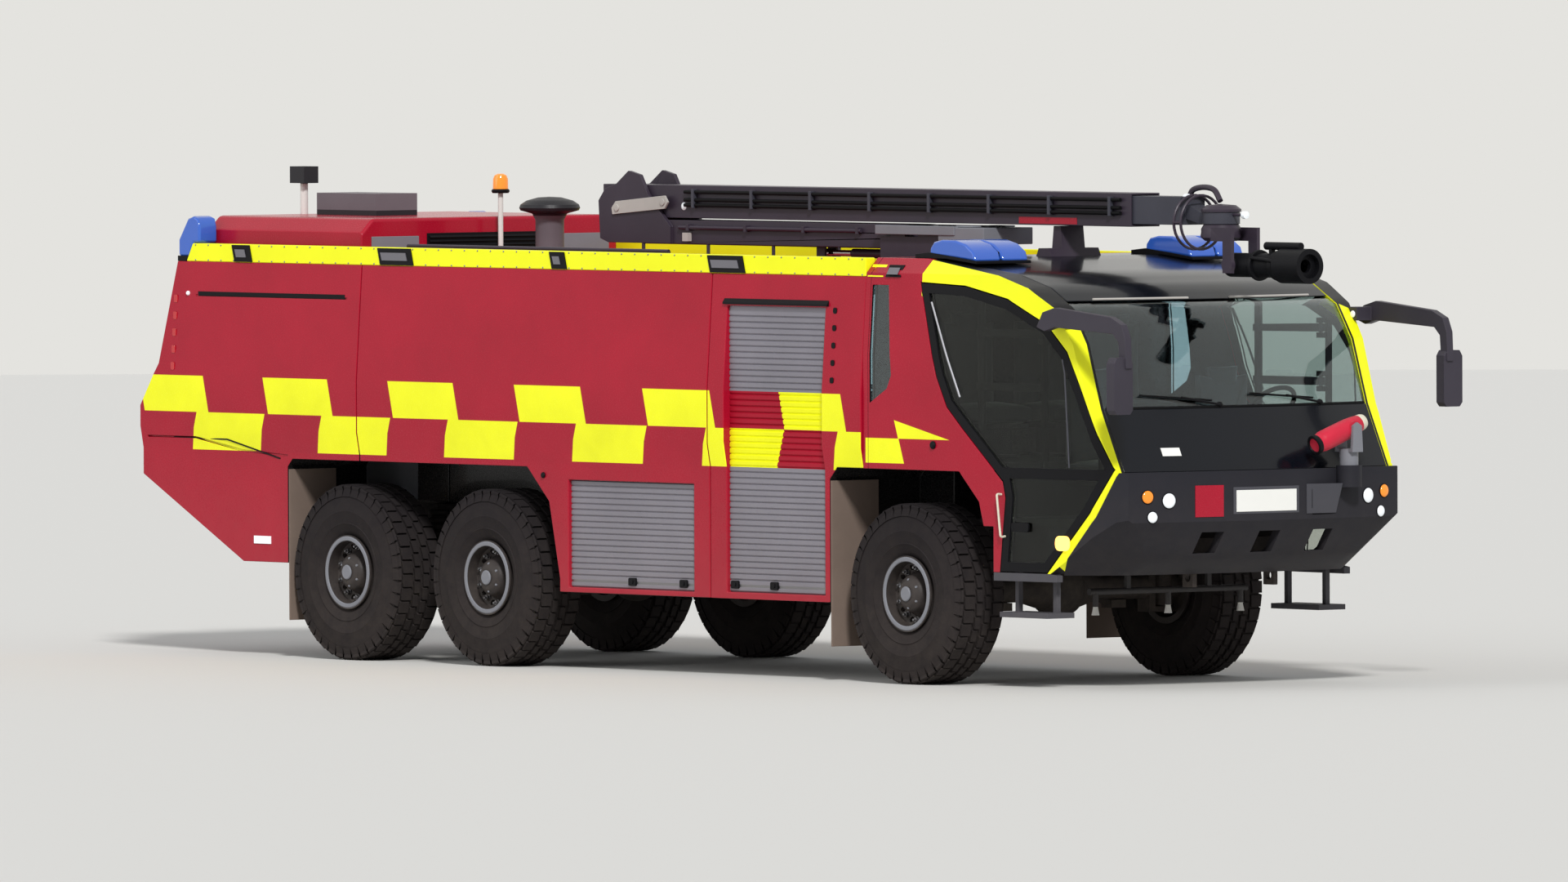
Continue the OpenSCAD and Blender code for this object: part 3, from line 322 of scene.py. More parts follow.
    def piece(self, name, material, body="root", slot="black_plastic", bevel=0.0, steps=2, angle=35):
        """Makes the object and lets it ride on its body; the slot is not used."""
        bmesh.ops.remove_doubles(self.bm, verts=self.bm.verts, dist=1e-5)
        bmesh.ops.recalc_face_normals(self.bm, faces=self.bm.faces)
        for vert in self.bm.verts:
            vert.co.x += AXLE_X
        mesh = bpy.data.meshes.new(name)
        self.bm.to_mesh(mesh)
        self.bm.free()
        mesh.shade_smooth()
        mesh.set_sharp_from_angle(angle=math.radians(angle))
        obj = bpy.data.objects.new(name, mesh)
        bpy.context.scene.collection.objects.link(obj)
        mesh.materials.append(bpy.data.materials[material])
        if bevel:
            round_edges(obj, bevel, steps, angle)
        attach(obj, body)
        return obj


# Repeats made with Geometry Nodes


def add(tree, kind, inputs=None, **settings):
    """Adds a node with its settings, and sets or links its inputs."""
    node = tree.nodes.new(kind)
    for key, value in settings.items():
        setattr(node, key, value)
    for key, value in (inputs or {}).items():
        socket = node.inputs[key]
        if isinstance(value, bpy.types.NodeSocket):
            tree.links.new(value, socket)
        else:
            socket.default_value = value
    return node


def new_tree(name, inputs):
    """A Geometry Nodes tree with named inputs: name, socket type and default, and a material last."""
    tree = bpy.data.node_groups.new(name, "GeometryNodeTree")
    for way in ("INPUT", "OUTPUT"):
        tree.interface.new_socket(name="Geometry", in_out=way, socket_type="NodeSocketGeometry")
    for label, kind, default in inputs + [("Finish", "NodeSocketMaterial", None)]:
        socket = tree.interface.new_socket(name=label, in_out="INPUT", socket_type=kind)
        socket.default_value = default
    return tree, tree.nodes.new("NodeGroupInput").outputs


def end_tree(tree, given, geometry):
    """Ends a tree in Realize Instances and Set Material."""
    real = add(tree, "GeometryNodeRealizeInstances", {"Geometry": geometry.outputs[0]})
    finish = add(tree, "GeometryNodeSetMaterial", {
        "Geometry": real.outputs[0], "Material": given["Finish"]})
    tree.links.new(finish.outputs[0], tree.nodes.new("NodeGroupOutput").inputs[0])
    return tree


def ring_tree():
    """Repeats a shape in a ring about Z, turned to face outwards."""
    tree, given = new_tree("Ring of copies", [
        ("Count", "NodeSocketInt", 10), ("Radius", "NodeSocketFloat", 0.2)])
    ring = add(tree, "GeometryNodeMeshCircle", {"Vertices": given["Count"], "Radius": given["Radius"]})
    place = add(tree, "GeometryNodeInputPosition")
    turn = add(tree, "FunctionNodeAlignRotationToVector", {"Vector": place.outputs[0]},
               axis="X", pivot_axis="Z")
    copies = add(tree, "GeometryNodeInstanceOnPoints", {
        "Points": ring.outputs[0], "Instance": given["Geometry"], "Rotation": turn.outputs[0]})
    return end_tree(tree, given, copies)


def path_tree():
    """Repeats a round-headed fastener at a spacing along the edges of a mesh."""
    tree, given = new_tree("Fasteners along a path", [
        ("Spacing", "NodeSocketFloat", 0.1), ("Head", "NodeSocketFloat", 0.01)])
    curve = add(tree, "GeometryNodeMeshToCurve", {"Mesh": given["Geometry"]})
    points = add(tree, "GeometryNodeResampleCurve", {
        "Curve": curve.outputs[0], "Length": given["Spacing"]}, mode="LENGTH")
    head = add(tree, "GeometryNodeMeshUVSphere", {"Segments": 8, "Rings": 5, "Radius": given["Head"]})
    copies = add(tree, "GeometryNodeInstanceOnPoints", {
        "Points": points.outputs[0], "Instance": head.outputs[0]})
    return end_tree(tree, given, copies)


def set_inputs(modifier, values):
    """Gives a Geometry Nodes modifier its named inputs, by their identifiers."""
    for item in modifier.node_group.interface.items_tree:
        if item.item_type == "SOCKET" and item.in_out == "INPUT" and item.name in values:
            modifier[item.identifier] = values[item.name]


def grown(tree, mesh, values):
    """The plain mesh that a Geometry Nodes tree makes from a mesh and its named inputs."""
    obj = bpy.data.objects.new("growing", mesh)
    bpy.context.scene.collection.objects.link(obj)
    nodes = obj.modifiers.new("Repeat", "NODES")
    nodes.node_group = tree
    set_inputs(nodes, values)
    seen = obj.evaluated_get(bpy.context.evaluated_depsgraph_get())
    made = bpy.data.meshes.new_from_object(seen)
    bpy.data.objects.remove(obj)
    return made


def ringed(tree, solids, finish, count, radius):
    """Gathered solids in one material, repeated in a ring by its tree."""
    shape = loose_mesh(solids)
    material = bpy.data.materials[finish]
    shape.materials.append(material)
    return grown(tree, shape, {"Count": count, "Radius": radius, "Finish": material})


def loose_mesh(solids):
    """A plain mesh from gathered solids, to be repeated by a tree."""
    bmesh.ops.remove_doubles(solids.bm, verts=solids.bm.verts, dist=1e-6)
    bmesh.ops.recalc_face_normals(solids.bm, faces=solids.bm.faces)
    mesh = bpy.data.meshes.new("shape")
    solids.bm.to_mesh(mesh)
    solids.bm.free()
    return mesh


# Materials


def linear(code):
    """An sRGB hex colour as linear RGBA."""
    parts = [int(code[i : i + 2], 16) / 255 for i in (1, 3, 5)]
    return [c / 12.92 if c <= 0.04045 else ((c + 0.055) / 1.055) ** 2.4 for c in parts] + [1.0]


MATHS = {"+": "ADD", "-": "SUBTRACT", "*": "MULTIPLY", "%": "MODULO", "<": "LESS_THAN",
         ">": "GREATER_THAN", "or": "MAXIMUM", "abs": "ABSOLUTE"}


def sums(tree, known, table):
    """Works through rows of result, first, sign and second; a name stands for an earlier result."""
    for result, a, sign, b in table:
        known[result] = add(
            tree, "ShaderNodeMath", {0: known.get(a, a), 1: known.get(b, b)}, operation=MATHS[sign]
        ).outputs[0]
    return known


def places(tree, coords):
    """The parts of the Object coordinates and of the surface's own direction, by name."""
    at = add(tree, "ShaderNodeSeparateXYZ", {0: coords.outputs["Object"]})
    facing = add(tree, "ShaderNodeSeparateXYZ", {0: coords.outputs["Normal"]})
    known = dict(zip(("X", "Y", "z", "nx", "NY", "nz"), [*at.outputs, *facing.outputs]))
    return sums(tree, known, [
        ("x", "X", "-", AXLE_X), ("y", "Y", "abs", 0.0), ("ny", "NY", "abs", 0.0)])


DUST = "#8C7F72"
# Lengths after which the band's upper and lower checks repeat
CHECK_RUN, LOW_CHECK_RUN = 1.565, 1.575

# Two rows of checks, each sheared a little against the other
CHECKS = [
    ("drop", BELT_TOP, "-", "z"), ("lean", "drop", "*", 0.25),
    ("run", "x", "-", "lean"), ("run up", "run", "+", 9.35 + CHECK_RUN * 8),
    ("cell up", "run up", "%", CHECK_RUN), ("on up", "cell up", "<", 0.81),
    ("drop low", BELT_MID, "-", "z"), ("lean low", "drop low", "*", 0.3),
    ("run low", "x", "+", "lean low"), ("run lower", "run low", "+", 8.62 + LOW_CHECK_RUN * 8),
    ("cell low", "run lower", "%", LOW_CHECK_RUN), ("on low", "cell low", "<", 0.86),
    ("above mid", "z", ">", BELT_MID), ("below mid", "z", "<", BELT_MID + 1e-5),
    ("below top", "z", "<", BELT_TOP), ("above low", "z", ">", BELT_LOW),
    ("upper row", "above mid", "*", "below top"), ("lower row", "below mid", "*", "above low"),
    ("upper", "upper row", "*", "on up"), ("lower", "lower row", "*", "on low"),
    ("either", "upper", "+", "lower"), ("sideways", "ny", ">", 0.6),
    ("check", "either", "*", "sideways"),
]
# Undercoat in the wheel arches, the tunnel over the frame and underneath
UNDER = [
    ("in arch back", "x", ">", -7.53), ("in arch front", "x", "<", -4.10),
    ("rear arch", "in arch back", "*", "in arch front"),
    ("front arch", "x", ">", -0.9), ("arches", "rear arch", "or", "front arch"),
    ("not side", "ny", "<", 0.6), ("low down", "z", "<", 1.615),
    ("arch faces", "arches", "*", "not side"), ("arch", "arch faces", "*", "low down"),
    ("inside", "y", "<", 0.76), ("tunnel", "inside", "*", "low down"),
    ("flat under", "nz", "<", -0.95), ("floor", "flat under", "*", "low down"),
    ("covered", "arch", "or", "tunnel"), ("under", "covered", "or", "floor"),
]
# On the cab's side: one check over the arch and a wedge that runs out under the door
CAB_CHECKS = [
    ("c back", "x", ">", -0.44), ("slope", "z", "*", 0.35), ("c edge", "x", "+", "slope"),
    ("c front", "c edge", "<", 0.59), ("c top", "z", "<", 1.83), ("c low", "z", ">", 1.645),
    ("c side", "c back", "*", "c front"), ("c height", "c top", "*", "c low"),
    ("cell", "c side", "*", "c height"),
    ("w low", "z", ">", 1.83), ("w back", "c edge", ">", 0.585),
    ("w slope", "x", "*", 0.21), ("w line", "z", "+", "w slope"), ("w top", "w line", "<", 1.945),
    ("w a", "w low", "*", "w back"), ("wedge", "w a", "*", "w top"),
    ("either", "cell", "+", "wedge"), ("sideways", "ny", ">", 0.6),
    ("check", "either", "*", "sideways"),
]
# Dark trim on the faces inside the cab
CAB_TRIM = [
    ("turned", "Y", "*", "NY"), ("inner side", "turned", "<", -0.3),
    ("rear wall", "x", "<", -0.35), ("forward", "nx", ">", 0.6),
    ("inner rear", "rear wall", "*", "forward"), ("trim", "inner side", "or", "inner rear"),
    ("dark", "under", "or", "trim"),
]
# The checks run across the tall shutters only
SHUTTER_FILM = [
    ("band", "upper row", "+", "lower row"), ("tall", "x", ">", -2.2),
    ("filmed", "band", "*", "tall"), ("filmed check", "filmed", "*", "check"),
]
# White beacon pole and camera stalk, grey intake and air box with a dark foot and cap
ROOF_FITTINGS = [
    ("from pole", "x", "+", 6.72), ("off pole", "from pole", "abs", 0.0),
    ("near", "off pole", "<", 0.06), ("mid", "y", "<", 0.06), ("beacon pole", "near", "*", "mid"),
    ("behind", "x", "<", -5.8), ("inner", "y", "<", 1.0), ("grey", "behind", "*", "inner"),
    ("foot", "z", "<", 3.42), ("aft", "x", "<", -6.95), ("dark foot", "foot", "*", "aft"),
    ("stalk end", "x", "<", -8.6), ("under camera", "z", "<", 3.615),
    ("stalk", "stalk end", "*", "under camera"),
    ("camera", "z", ">", 3.615), ("camera body", "camera", "*", "stalk end"),
    ("cap low", "z", ">", 3.395), ("ahead", "x", ">", -6.4), ("cap", "cap low", "*", "ahead"),
    ("intake cap", "cap", "*", "grey"), ("dark", "dark foot", "or", "intake cap"),
    ("all dark", "dark", "or", "camera body"), ("white", "beacon pole", "or", "stalk"),
]
# Film on the arc's side faces and round on to the pillar's front
ARC_FILM = [
    ("side face", "ny", ">", 0.6), ("outer", "y", ">", 1.288), ("forward", "x", ">", 1.75),
    ("pillar", "outer", "*", "forward"), ("filmed arc", "side face", "or", "pillar"),
]
# Spray tips under a dark pipe
NOZZLE_TIPS = [("tip", "z", "<", 0.592)]


def surface(name, colour, rough, grain_mm, bump_mm, shade, dust=0.0, **sockets):
    """A shader with broad shade, dust towards the ground, and gloss and relief at the grain's size in mm.

    The colour is a code, or sums, a ground colour and layers that each have an amount and a colour.
    """
    material = bpy.data.materials.new(name)
    material.use_nodes = True
    tree = material.node_tree
    shader = tree.nodes["Principled BSDF"]
    coords = add(tree, "ShaderNodeTexCoord")
    place = coords.outputs["Object"]
    if isinstance(colour, str):
        result = linear(colour)
    else:
        table, ground, layers = colour
        known = sums(tree, places(tree, coords), table)
        result = linear(ground)
        for amount, code in layers:
            result = add(tree, "ShaderNodeMix", {
                0: known[amount], 6: result, 7: linear(code)}, data_type="RGBA").outputs[2]
    broad = add(tree, "ShaderNodeTexNoise", {
        "Vector": place, "Scale": 1.7, "Detail": 4.0, "Roughness": 0.6})
    fine = add(tree, "ShaderNodeTexNoise", {"Vector": place, "Scale": 1000 / grain_mm, "Detail": 3.0})
    tone = add(tree, "ShaderNodeMapRange", {
        "Value": broad.outputs["Fac"], "From Min": 0.3, "From Max": 0.7,
        "To Min": 1 - shade, "To Max": 1 + shade})
    toned = add(tree, "ShaderNodeVectorMath", {0: (1, 1, 1), "Scale": tone.outputs[0]}, operation="SCALE")
    result = add(tree, "ShaderNodeMix", {0: 1.0, 6: result, 7: toned.outputs[0]},
                 data_type="RGBA", blend_type="MULTIPLY").outputs[2]
    gloss = add(tree, "ShaderNodeMapRange", {
        "Value": fine.outputs["Fac"], "From Min": 0.25, "From Max": 0.75,
        "To Min": rough[0], "To Max": rough[1]}).outputs[0]
    if dust:
        height = add(tree, "ShaderNodeSeparateXYZ", {0: place}).outputs[2]
        low = add(tree, "ShaderNodeMapRange", {
            "Value": height, "From Min": 0.3, "From Max": 1.7, "To Min": dust, "To Max": 0.0})
        patch = add(tree, "ShaderNodeTexNoise", {
            "Vector": place, "Scale": 9.0, "Detail": 5.0, "Roughness": 0.7})
        amount = add(tree, "ShaderNodeMath", {
            0: low.outputs[0], 1: patch.outputs["Fac"]}, operation="MULTIPLY").outputs[0]
        result = add(tree, "ShaderNodeMix", {
            0: amount, 6: result, 7: linear(DUST)}, data_type="RGBA").outputs[2]
        gloss = add(tree, "ShaderNodeMath", {0: gloss, 1: amount}, operation="ADD", use_clamp=True).outputs[0]
    tree.links.new(result, shader.inputs["Base Color"])
    tree.links.new(gloss, shader.inputs["Roughness"])
    if bump_mm:
        relief = add(tree, "ShaderNodeBump", {"Height": fine.outputs["Fac"], "Distance": bump_mm / 1000})
        tree.links.new(relief.outputs[0], shader.inputs["Normal"])
    for key, value in sockets.items():
        shader.inputs[key.replace("_", " ")].default_value = value


def make_materials(colours):
    """All finishes of the truck; grains are real sizes in mm, drawn no finer than the render shows."""
    gloss = {"Coat_Weight": 0.12, "Coat_Roughness": 0.06, "Specular_IOR_Level": 0.22}
    satin = {"Specular_IOR_Level": 0.25}
    matt = {"Specular_IOR_Level": 0.12}
    # Finishes in more than one colour: sums, the ground colour, and layers over it
    red, yellow, black = colours.red, colours.yellow, colours.black
    body = (CHECKS + UNDER, red, [("check", yellow), ("under", black)])
    cab_side = (CAB_CHECKS + UNDER + CAB_TRIM, red, [("check", yellow), ("dark", black)])
    slats = (CHECKS + SHUTTER_FILM, colours.shutter, [("filmed", red), ("filmed check", yellow)])
    arcs = (ARC_FILM, black, [("filmed arc", yellow)])
    nozzles = (NOZZLE_TIPS, "#2A2A2D", [("tip", "#D8D6D0")])
    roof = (ROOF_FITTINGS, colours.boom, [
        ("grey", "#6A6469"), ("all dark", "#242327"), ("white", "#DAD8D2")])
    # Two-pack polyurethane paint on glass-fibre panels: deep gloss with faint orange peel
    surface("Two-pack paint, livery", body, (0.22, 0.3), 9, 0.05, 0.07, 0.14, **gloss)
    surface("Two-pack paint, cab side", cab_side, (0.22, 0.3), 9, 0.05, 0.07, 0.14, **gloss)
    surface("Two-pack paint, red", red, (0.22, 0.3), 9, 0.05, 0.06, 0.1, **gloss)
    surface("Two-pack paint, black", "#0C0F16", (0.14, 0.22), 9, 0.04, 0.08, **gloss)
    # Fluorescent retroreflective film: bright and even, with a fine satin prism texture
    surface("Reflective film, yellow", yellow, (0.3, 0.42), 3, 0.03, 0.03, 0.08, **satin)
    surface("Reflective film, arcs", arcs, (0.3, 0.42), 3, 0.03, 0.03, 0.08, **satin)
    # Epoxy paint on welded steel: satin and a little uneven, dusty low down
    surface("Epoxy paint, boom", colours.boom, (0.3, 0.45), 12, 0.08, 0.12, **satin)
    surface("Epoxy paint, telescope", "#3E3E47", (0.32, 0.46), 12, 0.08, 0.1, **satin)
    surface("Epoxy paint, light grey", "#7C7D83", (0.32, 0.46), 12, 0.08, 0.08, **satin)
    # Pale paint; on the bars under the visor it is a painted highlight
    surface("Epoxy paint, pale", "#B4AFA9", (0.35, 0.5), 12, 0.08, 0.08, **satin)
    surface("Epoxy paint, chassis", "#232226", (0.45, 0.65), 14, 0.15, 0.15, 0.55, **matt)
    surface("Epoxy paint, rim", "#211E21", (0.38, 0.52), 12, 0.08, 0.12, 0.3, **satin)
    surface("Epoxy paint, ground nozzles", nozzles, (0.4, 0.55), 12, 0.08, 0.06, 0.2, **satin)
    surface("Roof fittings paint", roof, (0.35, 0.5), 12, 0.08, 0.06, **satin)
    # Anodised aluminium slats: satin metal that stays grey, with the checks in film across them
    surface("Anodised aluminium, slats", slats, (0.4, 0.52), 5, 0.04, 0.06, 0.25, Metallic=0.25, **satin)
    surface("Aluminium tread plate", "#85868B", (0.35, 0.55), 16, 0.9, 0.08, 0.3, Metallic=0.8)
    surface("Machined steel", "#8A8A8E", (0.28, 0.42), 6, 0.03, 0.06, 0.3, Metallic=1.0)
    surface("Hard chrome", "#CFCFD3", (0.06, 0.12), 8, 0.01, 0.02, Metallic=1.0)
    surface("Mirror silver", "#D8DADC", (0.02, 0.04), 8, 0.0, 0.01, Metallic=1.0)
    # Moulded polypropylene and ABS: spark-eroded grain, no gloss
    surface("Moulded plastic, bumper", colours.bumper, (0.45, 0.6), 5, 0.18, 0.06, 0.2, **matt)
    surface("Moulded plastic, black", "#101013", (0.4, 0.58), 5, 0.15, 0.08, **matt)
    surface("Moulded plastic, mirrors", "#38343D", (0.4, 0.55), 5, 0.15, 0.1, **satin)
    surface("Moulded plastic, grey", "#4A4A50", (0.45, 0.6), 5, 0.15, 0.06, 0.2, **matt)
    surface("Moulded plastic, white", "#EDECE6", (0.3, 0.42), 5, 0.05, 0.03)
    surface("Moulded plastic, cream", "#D9D3BE", (0.35, 0.5), 5, 0.06, 0.04)
    # Vulcanised rubber: matt, greyed by dust low down
    surface("Tyre rubber", "#1E1B1E", (0.75, 0.92), 7, 0.3, 0.1, 0.16, **matt)
    surface("Sealing rubber", "#0D0D0F", (0.55, 0.7), 5, 0.05, 0.05, **matt)
    surface("Flap rubber", "#7A6A60", (0.75, 0.92), 10, 0.3, 0.1, 0.25, **matt)
    # PVC-coated cover: soft sheen and small creases over the stowed nozzle
    surface("Coated cover, red", "#C3223A", (0.35, 0.5), 26, 2.0, 0.1, Sheen_Weight=0.1, **satin)
    surface("Floor rubber", "#1B1B1D", (0.6, 0.75), 6, 0.3, 0.08)
    # Woven seat cloth: matt with a soft sheen; its weave is drawn at 4 mm to show
    surface("Woven seat cloth", "#26272D", (0.8, 0.95), 4, 0.5, 0.1, Sheen_Weight=0.35)
    surface("Seat belt webbing", "#1A1A1C", (0.7, 0.85), 4, 0.3, 0.05, Sheen_Weight=0.2)
    # Laminated and toughened glass, tinted in the mass
    surface("Laminated glass, windscreen", "#C2D9DF", (0.0, 0.015), 30, 0.0, 0.01,
            Transmission_Weight=1.0, IOR=1.5, Coat_Weight=0.3, Coat_Roughness=0.02)
    surface("Toughened glass, side", "#B4BAB0", (0.0, 0.015), 30, 0.0, 0.01,
            Transmission_Weight=1.0, IOR=1.3, Coat_Weight=0.0, Coat_Roughness=0.02)
    # Polycarbonate lenses: clear, coloured in the mass, with fine optics inside
    for label, code, glow in (
        ("blue", "#2855AE", 0.25), ("amber", "#E8861A", 0.35),
        ("red", "#B3101A", 0.15), ("clear", "#E9EDF0", 0.2),
    ):
        surface(f"Lens, {label}", code, (0.08, 0.16), 6, 0.3, 0.04, Coat_Weight=0.5, Coat_Roughness=0.03,
                Emission_Color=linear(code), Emission_Strength=glow)
    surface("Lens, lit amber", "#FFC04A", (0.1, 0.2), 6, 0.2, 0.02,
            Emission_Color=linear("#FFC860"), Emission_Strength=2.2)
    surface("Lens, smoked", "#66646B", (0.15, 0.25), 6, 0.3, 0.04, Coat_Weight=0.3, Coat_Roughness=0.03)
    surface("Display glass", "#0B1114", (0.08, 0.14), 6, 0.0, 0.02, Coat_Weight=0.5)


# CAD nodes that keep their shape: material and rounding of their edges in mm
DRESSED = [
    ("frame", "Epoxy paint, chassis", 3), ("towing_eyes", "Epoxy paint, chassis", 4),
    ("axles", "Epoxy paint, chassis", 4), ("suspension", "Epoxy paint, chassis", 3),
    ("driveline", "Epoxy paint, chassis", 6), ("engine", "Epoxy paint, light grey", 20),
    ("rear_module", "Two-pack paint, livery", 12), ("mid_module", "Two-pack paint, livery", 10),
    ("locker_module", "Two-pack paint, livery", 10), ("shutters", "Anodised aluminium, slats", 0),
    ("roof_edges", "Reflective film, yellow", 8), ("roof_cover", "Two-pack paint, red", 25),
    ("roof_fittings", "Roof fittings paint", 6), ("cab_floor", "Floor rubber", 3),
    ("cab_roof", "Two-pack paint, black", 20), ("cab_rear_wall", "Two-pack paint, cab side", 4),
    ("cab_sides", "Two-pack paint, cab side", 5), ("cab_arcs", "Reflective film, arcs", 6),
    ("cab_front", "Two-pack paint, black", 6), ("cab_glass", "Laminated glass, windscreen", 0),
    ("dashboard", "Moulded plastic, black", 8), ("bumper", "Moulded plastic, bumper", 10),
    ("ground_nozzles", "Epoxy paint, ground nozzles", 2), ("mud_flaps", "Flap rubber", 2),
    ("steps", "Moulded plastic, grey", 4), ("mirrors", "Moulded plastic, mirrors", 14),
    ("turntable", "Epoxy paint, boom", 5), ("lower_boom", "Epoxy paint, boom", 5),
    ("lift_barrel", "Epoxy paint, boom", 3), ("lift_rod", "Hard chrome", 0),
    ("upper_boom", "Epoxy paint, boom", 5), ("telescope", "Epoxy paint, telescope", 4),
    ("turret_head", "Epoxy paint, boom", 4), ("turret_nozzle", "Moulded plastic, black", 5),
    ("front_monitor", "Epoxy paint, light grey", 4), ("front_nozzle", "Coated cover, red", 0),
] + [
    (f"{part}_{side}", material, bevel)
    for side in "lr"
    for part, material, bevel in (
        ("knuckle", "Epoxy paint, chassis", 4), ("rim_front", "Epoxy paint, rim", 3),
        ("rim_middle", "Epoxy paint, rim", 3), ("rim_rear", "Epoxy paint, rim", 3),
        ("door_arm", "Epoxy paint, chassis", 3), ("door", "Moulded plastic, black", 5),
        ("door_glass", "Toughened glass, side", 0),
    )
]


def edge_tree():
    """Joins a part's loose triangles and shades them smooth between edges that turn sharply."""
    tree, given = new_tree("Joined and shaded", [("Turn", "NodeSocketFloat", math.radians(DRESS_TURN))])
    joined = add(tree, "GeometryNodeMergeByDistance", {"Geometry": given["Geometry"], "Distance": 0.00002})
    turn = add(tree, "GeometryNodeInputMeshEdgeAngle")
    sharp = add(tree, "FunctionNodeCompare", {0: turn.outputs[0], 1: given["Turn"]},
                data_type="FLOAT", operation="GREATER_THAN")
    faces = add(tree, "GeometryNodeSetShadeSmooth", {
        "Geometry": joined.outputs[0], "Shade Smooth": True}, domain="FACE")
    edges = add(tree, "GeometryNodeSetShadeSmooth", {
        "Geometry": faces.outputs[0], "Selection": sharp.outputs[0], "Shade Smooth": False}, domain="EDGE")
    return end_tree(tree, given, edges)


# Settings that a user would change


class TruckColours(bpy.types.PropertyGroup):
    """Colours of the truck as sRGB hex codes."""

    red: bpy.props.StringProperty(
        name="Body red", description="Red of the body panels", default="#A60E2A")
    yellow: bpy.props.StringProperty(
        name="Livery yellow", description="Yellow of the checks, the band and the door arcs",
        default="#F8FA1A")
    black: bpy.props.StringProperty(
        name="Undercoat", description="Undercoat in the wheel arches", default="#121214")
    shutter: bpy.props.StringProperty(
        name="Shutter", description="Bare shutter slats", default="#86838B")
    bumper: bpy.props.StringProperty(
        name="Bumper", description="Moulded bumper", default="#26262C")
    boom: bpy.props.StringProperty(
        name="Boom", description="Boom and turret paint", default="#38303B")


class TruckSizes(bpy.types.PropertyGroup):
    """Sizes of the pieces that dress the truck."""

    hose_radius: bpy.props.FloatProperty(
        name="Hose radius", description="Radius of the boom's hoses",
        default=0.014, min=0.005, max=0.04, unit="LENGTH")
    nuts: bpy.props.IntProperty(
        name="Wheel nuts", description="Nuts in a wheel's ring", default=10, min=6, max=12)
    treads: bpy.props.IntProperty(
        name="Tread blocks", description="Tread blocks round a tyre", default=40, min=24, max=60)
    groove: bpy.props.FloatProperty(
        name="Tread depth", description="Depth of the tread", default=0.02, min=0.01, max=0.03, unit="LENGTH")
    rivet_spacing: bpy.props.FloatProperty(
        name="Rivet spacing", description="Distance between rivets along the roof edge",
        default=0.16, min=0.05, max=0.5, unit="LENGTH")
    floor_radius: bpy.props.FloatProperty(
        name="Floor radius", description="Radius of the floor under the truck",
        default=90.0, min=20.0, max=300.0, unit="LENGTH")
    lens: bpy.props.FloatProperty(
        name="Focal length", description="Camera focal length",
        default=545.0, min=50.0, max=2000.0, unit="CAMERA")
    camera_turn: bpy.props.FloatProperty(
        name="Camera turn", description="Direction of the camera round the truck",
        default=math.radians(51.2), subtype="ANGLE")
    camera_rise: bpy.props.FloatProperty(
        name="Camera rise", description="Height angle of the camera",
        default=math.radians(1.6), subtype="ANGLE")
    camera_distance: bpy.props.FloatProperty(
        name="Camera distance", description="Distance of the camera",
        default=180.0, min=20.0, max=400.0, unit="LENGTH")


def sizes():
    return bpy.context.scene.truck_sizes


def colours():
    return bpy.context.scene.truck_colours


# Operators, one for each group of pieces


# Name, angle round the truck, height angle, strength and spread, with angles in degrees
LIGHTS = (("Key", 58, 38, 2.5, 8), ("Fill", -20, 25, 0.5, 40))
LOOK_AT = Vector((AXLE_X - 3.25, 0.0, 1.72))


class TRUCK_OT_stage(bpy.types.Operator):
    """Pale floor and world, soft light and the camera at the photograph's angle."""

    bl_idname = "truck.stage"
    bl_label = "Stage"

    def execute(self, context):
        scene = context.scene
        scene.view_settings.view_transform = "Standard"
        size = sizes()
        bm = bmesh.new()
        bmesh.ops.create_circle(bm, cap_ends=True, segments=96, radius=size.floor_radius)
        mesh = bpy.data.meshes.new("floor")
        bm.to_mesh(mesh)
        bm.free()
        floor = bpy.data.objects.new("floor", mesh)
        scene.collection.objects.link(floor)
        material = bpy.data.materials.new("Studio floor")
        material.use_nodes = True
        shader = material.node_tree.nodes["Principled BSDF"]
        shader.inputs["Base Color"].default_value = linear("#D9D7D2")
        shader.inputs["Roughness"].default_value = 0.9
        mesh.materials.append(material)

        world = bpy.data.worlds.new("Studio")
        scene.world = world
        world.use_nodes = True
        tree = world.node_tree
        path = add(tree, "ShaderNodeLightPath")
        seen = path.outputs["Is Camera Ray"]
        for ray in ("Is Transmission Ray", "Is Glossy Ray"):
            seen = add(tree, "ShaderNodeMath", {
                0: seen, 1: path.outputs[ray]}, operation="MAXIMUM").outputs[0]
        light = tree.nodes["Background"]
        light.inputs["Color"].default_value = linear("#E6EAF0")
        light.inputs["Strength"].default_value = 0.55
        backdrop = add(tree, "ShaderNodeBackground", {"Color": linear("#E4E3DF"), "Strength": 1.0})
        both = add(tree, "ShaderNodeMixShader", {0: seen, 1: light.outputs[0], 2: backdrop.outputs[0]})
        tree.links.new(both.outputs[0], tree.nodes["World Output"].inputs[0])

        for name, turn, rise, power, angle in LIGHTS:
            lamp = bpy.data.lights.new(name, "SUN")
            lamp.energy = power
            lamp.angle = math.radians(angle)
            obj = bpy.data.objects.new(name, lamp)
            back = direction(math.radians(turn), math.radians(rise))
            obj.rotation_euler = back.to_track_quat("Z", "Y").to_euler()
            scene.collection.objects.link(obj)

        camera = bpy.data.cameras.new("Camera")
        camera.lens = size.lens
        camera.clip_start = 1.0
        camera.clip_end = 2000.0
        holder = bpy.data.objects.new("Camera", camera)
        back = direction(size.camera_turn, size.camera_rise)
        holder.location = LOOK_AT + back * size.camera_distance
        # Rolled a little, as the photograph is
        facing = back.to_track_quat("Z", "Y").to_matrix() @ spin(-0.2, "Z")
        holder.rotation_euler = facing.to_euler()
        scene.collection.objects.link(holder)
        scene.camera = holder
        return {"FINISHED"}


